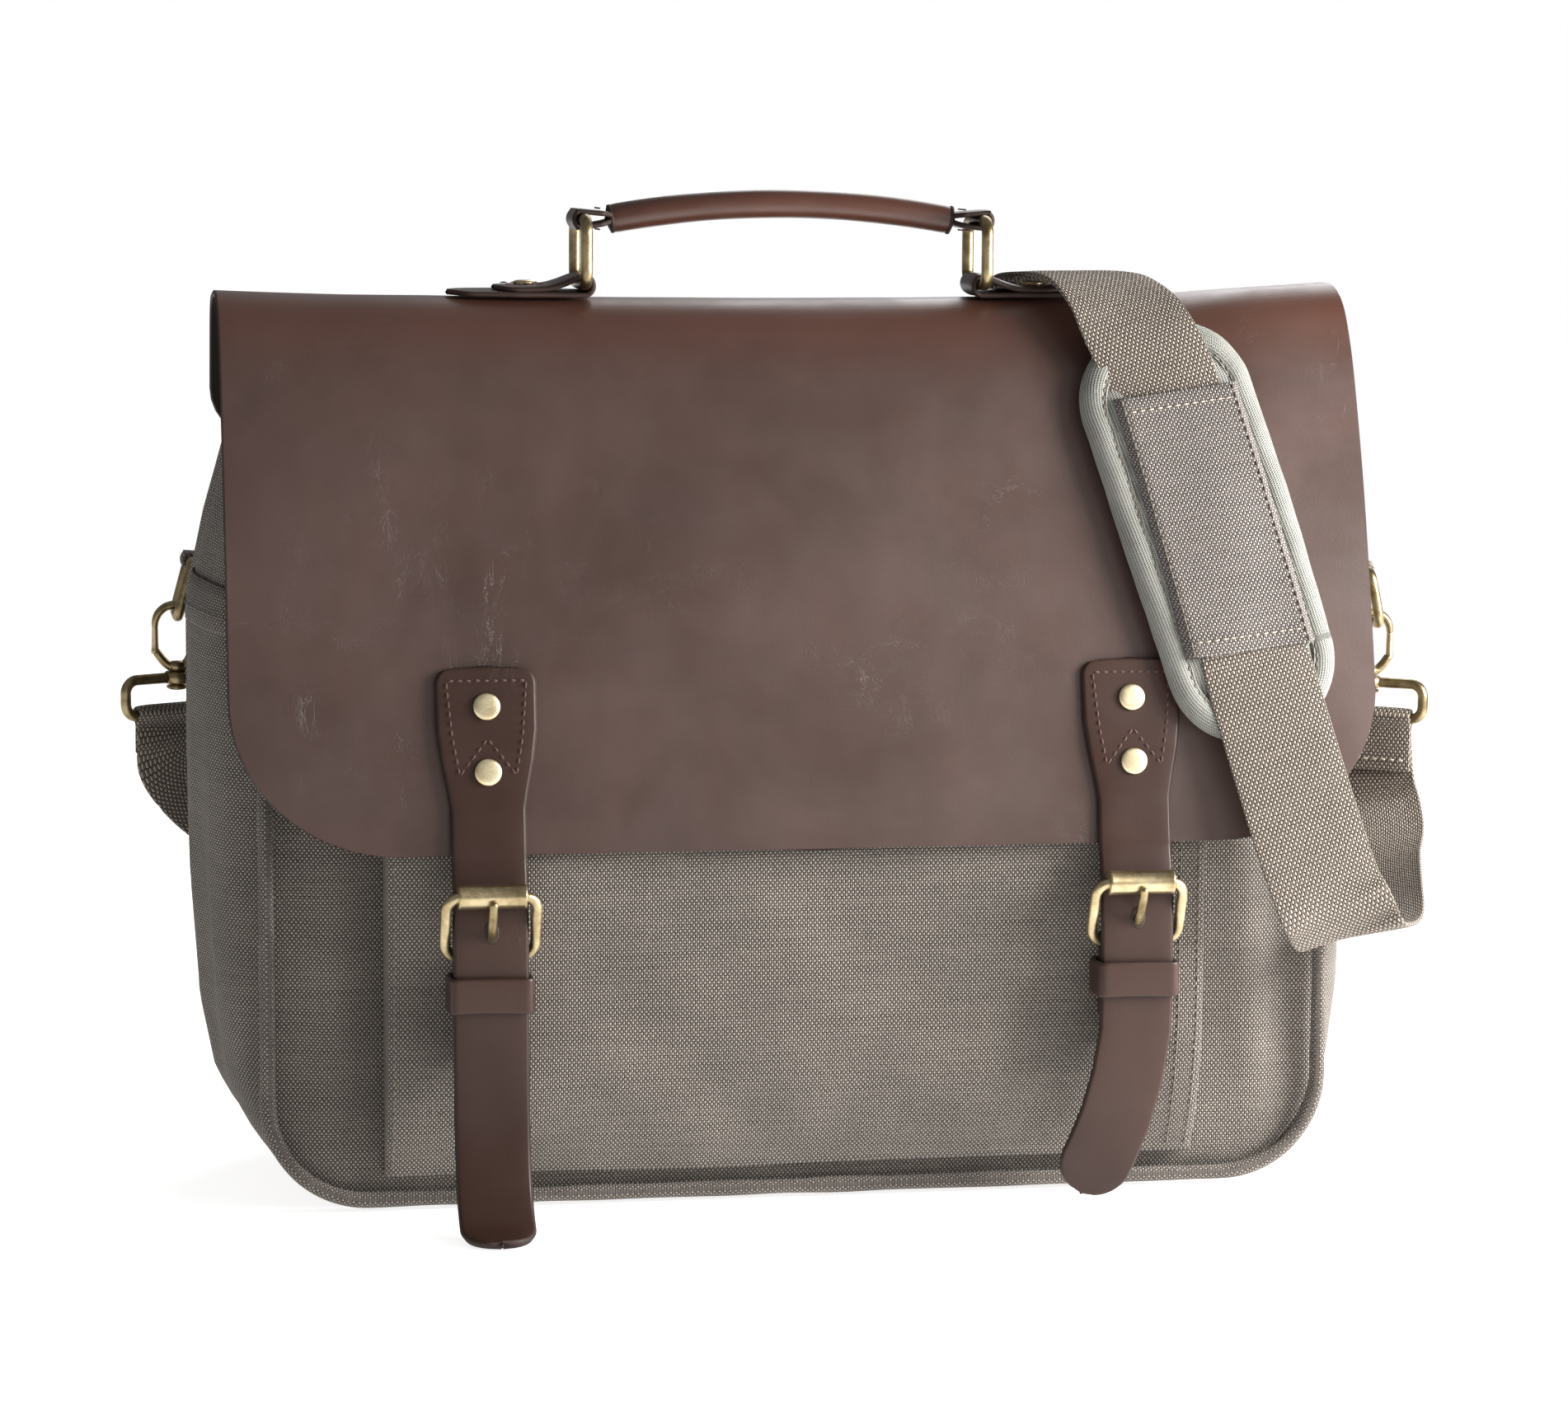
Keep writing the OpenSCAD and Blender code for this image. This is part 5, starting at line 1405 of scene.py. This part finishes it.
def webbing(name, i0, i1):
    """The strap's stretch from sample i0 to i1 of the whole route."""
    i1 = min(i1, len(W_MID) - 1)
    mid, acr, wid = W_MID[i0:i1 + 1], W_ACR[i0:i1 + 1], W_WID[i0:i1 + 1]
    t = unit(np.gradient(W_MID, axis=0))[i0:i1 + 1]
    a = unit(acr - (acr * t).sum(1, keepdims=True) * t)
    n = unit(np.cross(t, a))
    cols = 9
    u = np.sin(np.linspace(-math.pi / 2, math.pi / 2, cols))
    g = mid[:, None] + u[None, :, None] * wid[:, None, None] / 2 * a[:, None] + n[:, None] * WEB_T / 2
    g = g - n[:, None] * (WEB_T * 0.22 * np.abs(u[None, :, None]) ** 8)
    along = lengths(W_MID)[i0:i1 + 1]
    flat = np.stack([u[None] * wid[:, None] / 2, np.broadcast_to(along[:, None], (len(mid), cols)),
                     np.zeros((len(mid), cols))], 2)
    o = slab(name, g, WEB_T * 0.86, ["webbing"] * 3, np.broadcast_to(n[:, None], g.shape).copy(), flat,
             flip=True, rim=0.3)
    o.data.set_sharp_from_angle(angle=math.radians(45))
    return o


back_0, ridge_0, front_0, lower_0, fold_r = MARK[1:6]
# left: from the loop across the hook's and the ring's joints to the bag
s_a, s_b, s_c = back_0 - 4, back_0 + 4, back_0 + 12
first = webbing("webbing_left_end", 0, s_a)
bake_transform(first)
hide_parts("strap_end_left")
second = webbing("webbing_left_mid", s_a, s_b)
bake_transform(second)
third = webbing("webbing_left_low", s_b, s_c + 8)
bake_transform(third)
back_web = webbing("webbing_back", s_c + 8, ridge_0 - 8)
keep(back_web, "bag", "strap_back_run")
over = webbing("webbing_over_top", ridge_0 - 8, front_0)
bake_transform(over)
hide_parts("strap_ridge_run")
front_web = webbing("webbing_front", front_0, lower_0 - 4)
keep(front_web, "flap", "strap_front_run")
low = webbing("webbing_lower", lower_0 - 4, lower_0 + 3 * STEPS)
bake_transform(low)
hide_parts("strap_lower_run")
r1 = webbing("webbing_right_low", lower_0 + 3 * STEPS, lower_0 + 6 * STEPS)
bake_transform(r1)
r2 = webbing("webbing_right_mid", lower_0 + 6 * STEPS, lower_0 + 8 * STEPS)
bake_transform(r2)
r3 = webbing("webbing_right_end", lower_0 + 8 * STEPS, len(W_MID) - 1)
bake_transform(r3)
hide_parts("strap_end_right")


# Pad
PAD_MID, PAD_DOWN, PAD_ACROSS = A([142.4, 233.4]), A([0.262, -0.965]), A([0.965, 0.262])
PAD_HALF_L, PAD_HALF_W, PAD_R = 71.5, 31.8, 25.0
# the most that the simulation may move the pad's cover, in metres
MOST_SAG = 0.0016


def pad_point(a, b, depth):
    """A point of the pad: a across, b down along it, depth behind its face."""
    a = a * (1 - 0.06 * np.clip(b / PAD_HALF_L, 0, 1))
    x = PAD_MID[0] + PAD_DOWN[0] * b + PAD_ACROSS[0] * a
    z = PAD_MID[1] + PAD_DOWN[1] * b + PAD_ACROSS[1] * a
    y = line(z, RUN_Y) + 0.35
    lean = 0.27
    return np.stack([x, y + depth * 0.96, z - depth * lean], -1)


def pad_half(b):
    d = PAD_HALF_L - np.abs(b)
    corner = PAD_HALF_W - PAD_R + np.sqrt(np.maximum(PAD_R ** 2 - (PAD_R - d) ** 2, 0))
    return np.where(d < PAD_R, corner, PAD_HALF_W)


def pad_core():
    b = np.concatenate([-PAD_HALF_L + PAD_R * (1 - np.cos(np.linspace(0.25, math.pi / 2, 8)))[:-1],
                        np.linspace(-PAD_HALF_L + PAD_R, PAD_HALF_L - PAD_R, 24),
                        PAD_HALF_L - PAD_R + PAD_R * np.sin(np.linspace(0, math.pi / 2 - 0.25, 8))[1:]])
    u = np.linspace(-1, 1, 17)
    half = pad_half(b) - 1.5
    aa = u[None] * half[:, None]
    bb = b[:, None] + 0 * aa
    edge = np.clip((half[:, None] - np.abs(aa)) / 10, 0, 1)
    edge = np.minimum(edge, np.clip((PAD_HALF_L - np.abs(bb)) / 10, 0, 1))
    crown = np.sqrt(1 - (1 - edge) ** 2)
    face = pad_point(aa, bb, 1.5 + 1.6 * (1 - crown))
    o = slab("pad_core", face, 4.6, ["mesh"] * 3, flip=True)
    me = o.data
    re = o.modifiers.new("remesh", "REMESH")
    re.mode, re.voxel_size = "VOXEL", 0.004
    cloth = o.modifiers.new("cloth", "CLOTH")
    st = cloth.settings
    st.quality, st.use_pressure, st.uniform_pressure_force = 5, True, 4.0
    st.effector_weights.gravity = 0.0
    cloth.collision_settings.use_collision = False
    simulation = o.modifiers["cloth"]
    simulation.show_viewport = False
    start = bpy.data.meshes.new_from_object(o.evaluated_get(bpy.context.evaluated_depsgraph_get()))
    o.modifiers.remove(o.modifiers["remesh"])
    o.data = start
    simulation.show_viewport = True
    rest = mesh_points(start)
    scene.frame_start, scene.frame_end = 1, 20
    for f in range(1, 21):
        scene.frame_set(f)
    done = bpy.data.meshes.new_from_object(o.evaluated_get(bpy.context.evaluated_depsgraph_get()))
    o.modifiers.clear()
    d = mesh_points(done) - rest
    size = np.linalg.norm(d, axis=1, keepdims=True)
    d = d * np.minimum(1, MOST_SAG / np.maximum(size, 1e-9))
    done.vertices.foreach_set("co", (rest + d).ravel())
    o.data = done
    sub = o.modifiers.new("sub", "SUBSURF")
    sub.levels = sub.render_levels = 1
    done = bpy.data.meshes.new_from_object(o.evaluated_get(bpy.context.evaluated_depsgraph_get()))
    o.modifiers.clear()
    o.data = done
    scene.frame_set(1)
    me = o.data
    me.materials.clear()
    me.materials.append(M["mesh"])
    co = mesh_points(me) / MM
    rel = np.stack([co[:, 0] - PAD_MID[0], co[:, 2] - PAD_MID[1]], 1)
    flat = np.stack([rel @ PAD_ACROSS, rel @ PAD_DOWN, 0 * co[:, 0]], 1)
    old = me.attributes.get("flat")
    if old:
        me.attributes.remove(old)
    layer = me.attributes.new("flat", "FLOAT_VECTOR", "POINT")
    layer.data.foreach_set("vector", flat.astype(np.float32).ravel())
    me.polygons.foreach_set("use_smooth", [True] * len(me.polygons))
    keep(o, "flap", "shoulder_pad", slot="pad_mesh")


pad_core()


def pad_outline(n=170, grow=0.0):
    """[a, b] round the pad's edge, and the outward direction."""
    w, l, r = PAD_HALF_W + grow, PAD_HALF_L + grow, PAD_R + grow
    pts = []
    for sa, sb, start in ((1, 1, 0), (-1, 1, 90), (-1, -1, 180), (1, -1, 270)):
        for q in np.linspace(0, 90, 16):
            v = math.radians(start + q)
            pts.append((sa * (w - r) + r * math.cos(v), sb * (l - r) + r * math.sin(v)))
    p = A(pts + pts[:1])
    p = at(p, np.linspace(0, lengths(p)[-1], n + 1))[:-1]
    d = unit(np.roll(p, -1, 0) - np.roll(p, 1, 0))
    return p, np.stack([d[:, 1], -d[:, 0]], 1)


def pad_binding():
    """A band of mesh folded round the pad's edge, from its face to its back."""
    p, out = pad_outline()
    # [in from the edge, depth behind the face]
    prof = [(8.9, 2.0), (8.7, 0.95), (7.8, 0.25), (6.0, -0.3), (4.0, 0.0), (2.0, 0.9), (0.6, 2.4),
            (0.0, 4.0), (0.5, 5.7), (2.0, 6.9), (4.5, 7.6), (7.0, 7.9), (8.4, 7.9), (8.7, 7.2),
            (7.6, 6.6), (5.5, 6.4), (3.2, 5.4), (2.4, 4.0), (3.6, 2.6), (6.0, 1.9), (8.0, 2.4)]
    k = len(prof)
    along = lengths(np.concatenate([p, p[:1]]))[:-1]
    pucker = 0.3 * np.sin(along / 3.1 + 1.2 * ripple(along, 0 * along, 8, 40))
    pucker = pucker + 0.35 * ripple(along, 0 * along, 9, 22)
    g, flat = [], []
    run = lengths(A(prof, float))
    for (x, o, s, pk) in zip(p, out, along, pucker):
        for q, (inward, depth) in enumerate(prof):
            near = 1.0 if 2 <= q <= 8 else 0.0
            a, b = x - o * inward
            g.append(pad_point(A(a), A(b), A(depth - pk * near * 0.5)))
            flat.append((run[q], s, 0))
    faces = grid_faces(len(p), k, 0, True, True, True)
    o = build("pad_binding_band", g, faces, ["mesh"], None, flat)
    keep(o, "flap", slot="pad_mesh")
    inner = p - out * 7.9
    pts = A([pad_point(A(a), A(b), A(0.35)) for a, b in np.concatenate([inner, inner[:1]])])
    nrm = (0, -0.96, 0.27)
    cordp, _ = pad_outline(170, -8.7)
    pts2 = A([pad_point(A(a), A(b), A(0.75)) for a, b in np.concatenate([cordp, cordp[:1]])])
    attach(stitches("pad_binding_stitches", [(pts, nrm)], "thread_taupe", 2.3, 0.8, 0.34), "flap")
    c = tube("pad_binding_edge", even(pts2, 260, 1, False), 0.55, "mesh", 8)
    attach(c, "flap")


pad_binding()


def pad_sleeve():
    """The canvas sleeve sewn over the pad, which the strap passes through."""
    rows, cols = 40, 21
    top_l, top_r, low_l, low_r = A([110, 277.4]), A([154, 283.9]), A([130.6, 189.8]), A([176, 195.4])
    v = np.linspace(0, 1, rows)[:, None, None]
    u = np.linspace(0, 1, cols)[None, :, None]
    xz = (top_l * (1 - u) + top_r * u) * (1 - v) + (low_l * (1 - u) + low_r * u) * v
    x, z = xz[..., 0], xz[..., 1]
    uu = np.linspace(-1, 1, cols)[None, :] + 0 * x
    vv = np.linspace(0, 1, rows)[:, None] + 0 * x
    drop = np.clip((np.abs(uu) - 0.93) / 0.07, 0, 1)
    lift = 1.8 + 1.35 - 2.4 * drop ** 1.5
    wrinkle = 0.35 * ripple(x, z, 61, 30) + 0.25 * np.cos(uu * math.pi) * np.sin(vv * math.pi)
    y = line(z[:, cols // 2:cols // 2 + 1] + 0 * z, RUN_Y) - (lift + wrinkle * (1 - drop)) / 0.96
    g = np.stack([x, y, z], 2)
    o = slab("pad_sleeve_cloth", g, 0.9, ["sleeve"] * 3, flip=True)
    keep(o, "flap", "pad_sleeve", slot="canvas")
    n = (0, -0.96, 0.27)
    runs = []
    for k, (a, b) in ((0.055, (0.1, 0.9)), (0.945, (0.1, 0.9))):
        q = np.linspace(a, b, 60)
        i = k * (rows - 1)
        i0 = int(i)
        row = g[i0] * (1 - (i - i0)) + g[i0 + 1] * (i - i0)
        runs.append((at(row, q * lengths(row)[-1]) + A(n) * 0.12, n))
    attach(stitches("sleeve_stitches", runs, "thread_cream", 2.0, 0.9, 0.32), "flap")
    side_runs = []
    for j in (1, cols - 2):
        side_runs.append((g[:, j] + A(n) * 0.1, n))
    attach(stitches("sleeve_side_stitches", side_runs, "thread_taupe", 2.3, 0.8, 0.34), "flap")


pad_sleeve()

# the sewn end of the strap at the right loop
_, _, _, _, _, e1, e2 = clip_points("right")
row = A([RIGHT_BAR - e2 * 2.1 + e1 * q + A([0, 0, -15.4]) for q in np.linspace(-15, 15, 30)])
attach(stitches("strap_end_stitches_right", [(row, -e2)], "thread_cream", 2.2, 1.0, 0.34),
        "strap_loop_right")


def slider():
    mid, across, up = A([77.5, 47.15, 244.1]), A([0.968, 0.103, -0.230]), A([0.239, -0.086, 0.967])
    out = np.cross(across, up)
    wire_loop("slider_frame", "bag", "strap_slider", 21.6, 9.4, 3.0, 1.5, mid, across, up, "brass_dark")
    bar_path = A([mid + across * q - out * 1.6 for q in np.linspace(-21, 21, 12)])
    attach(tube("slider_bar", bar_path, 1.4, "brass_dark", 12), "bag")


slider()

# CAD pieces that keep their own shape
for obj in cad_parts.values():
    if not obj.hide_render:
        obj.data.materials.clear()
        obj.data.materials.append(M["brass"])
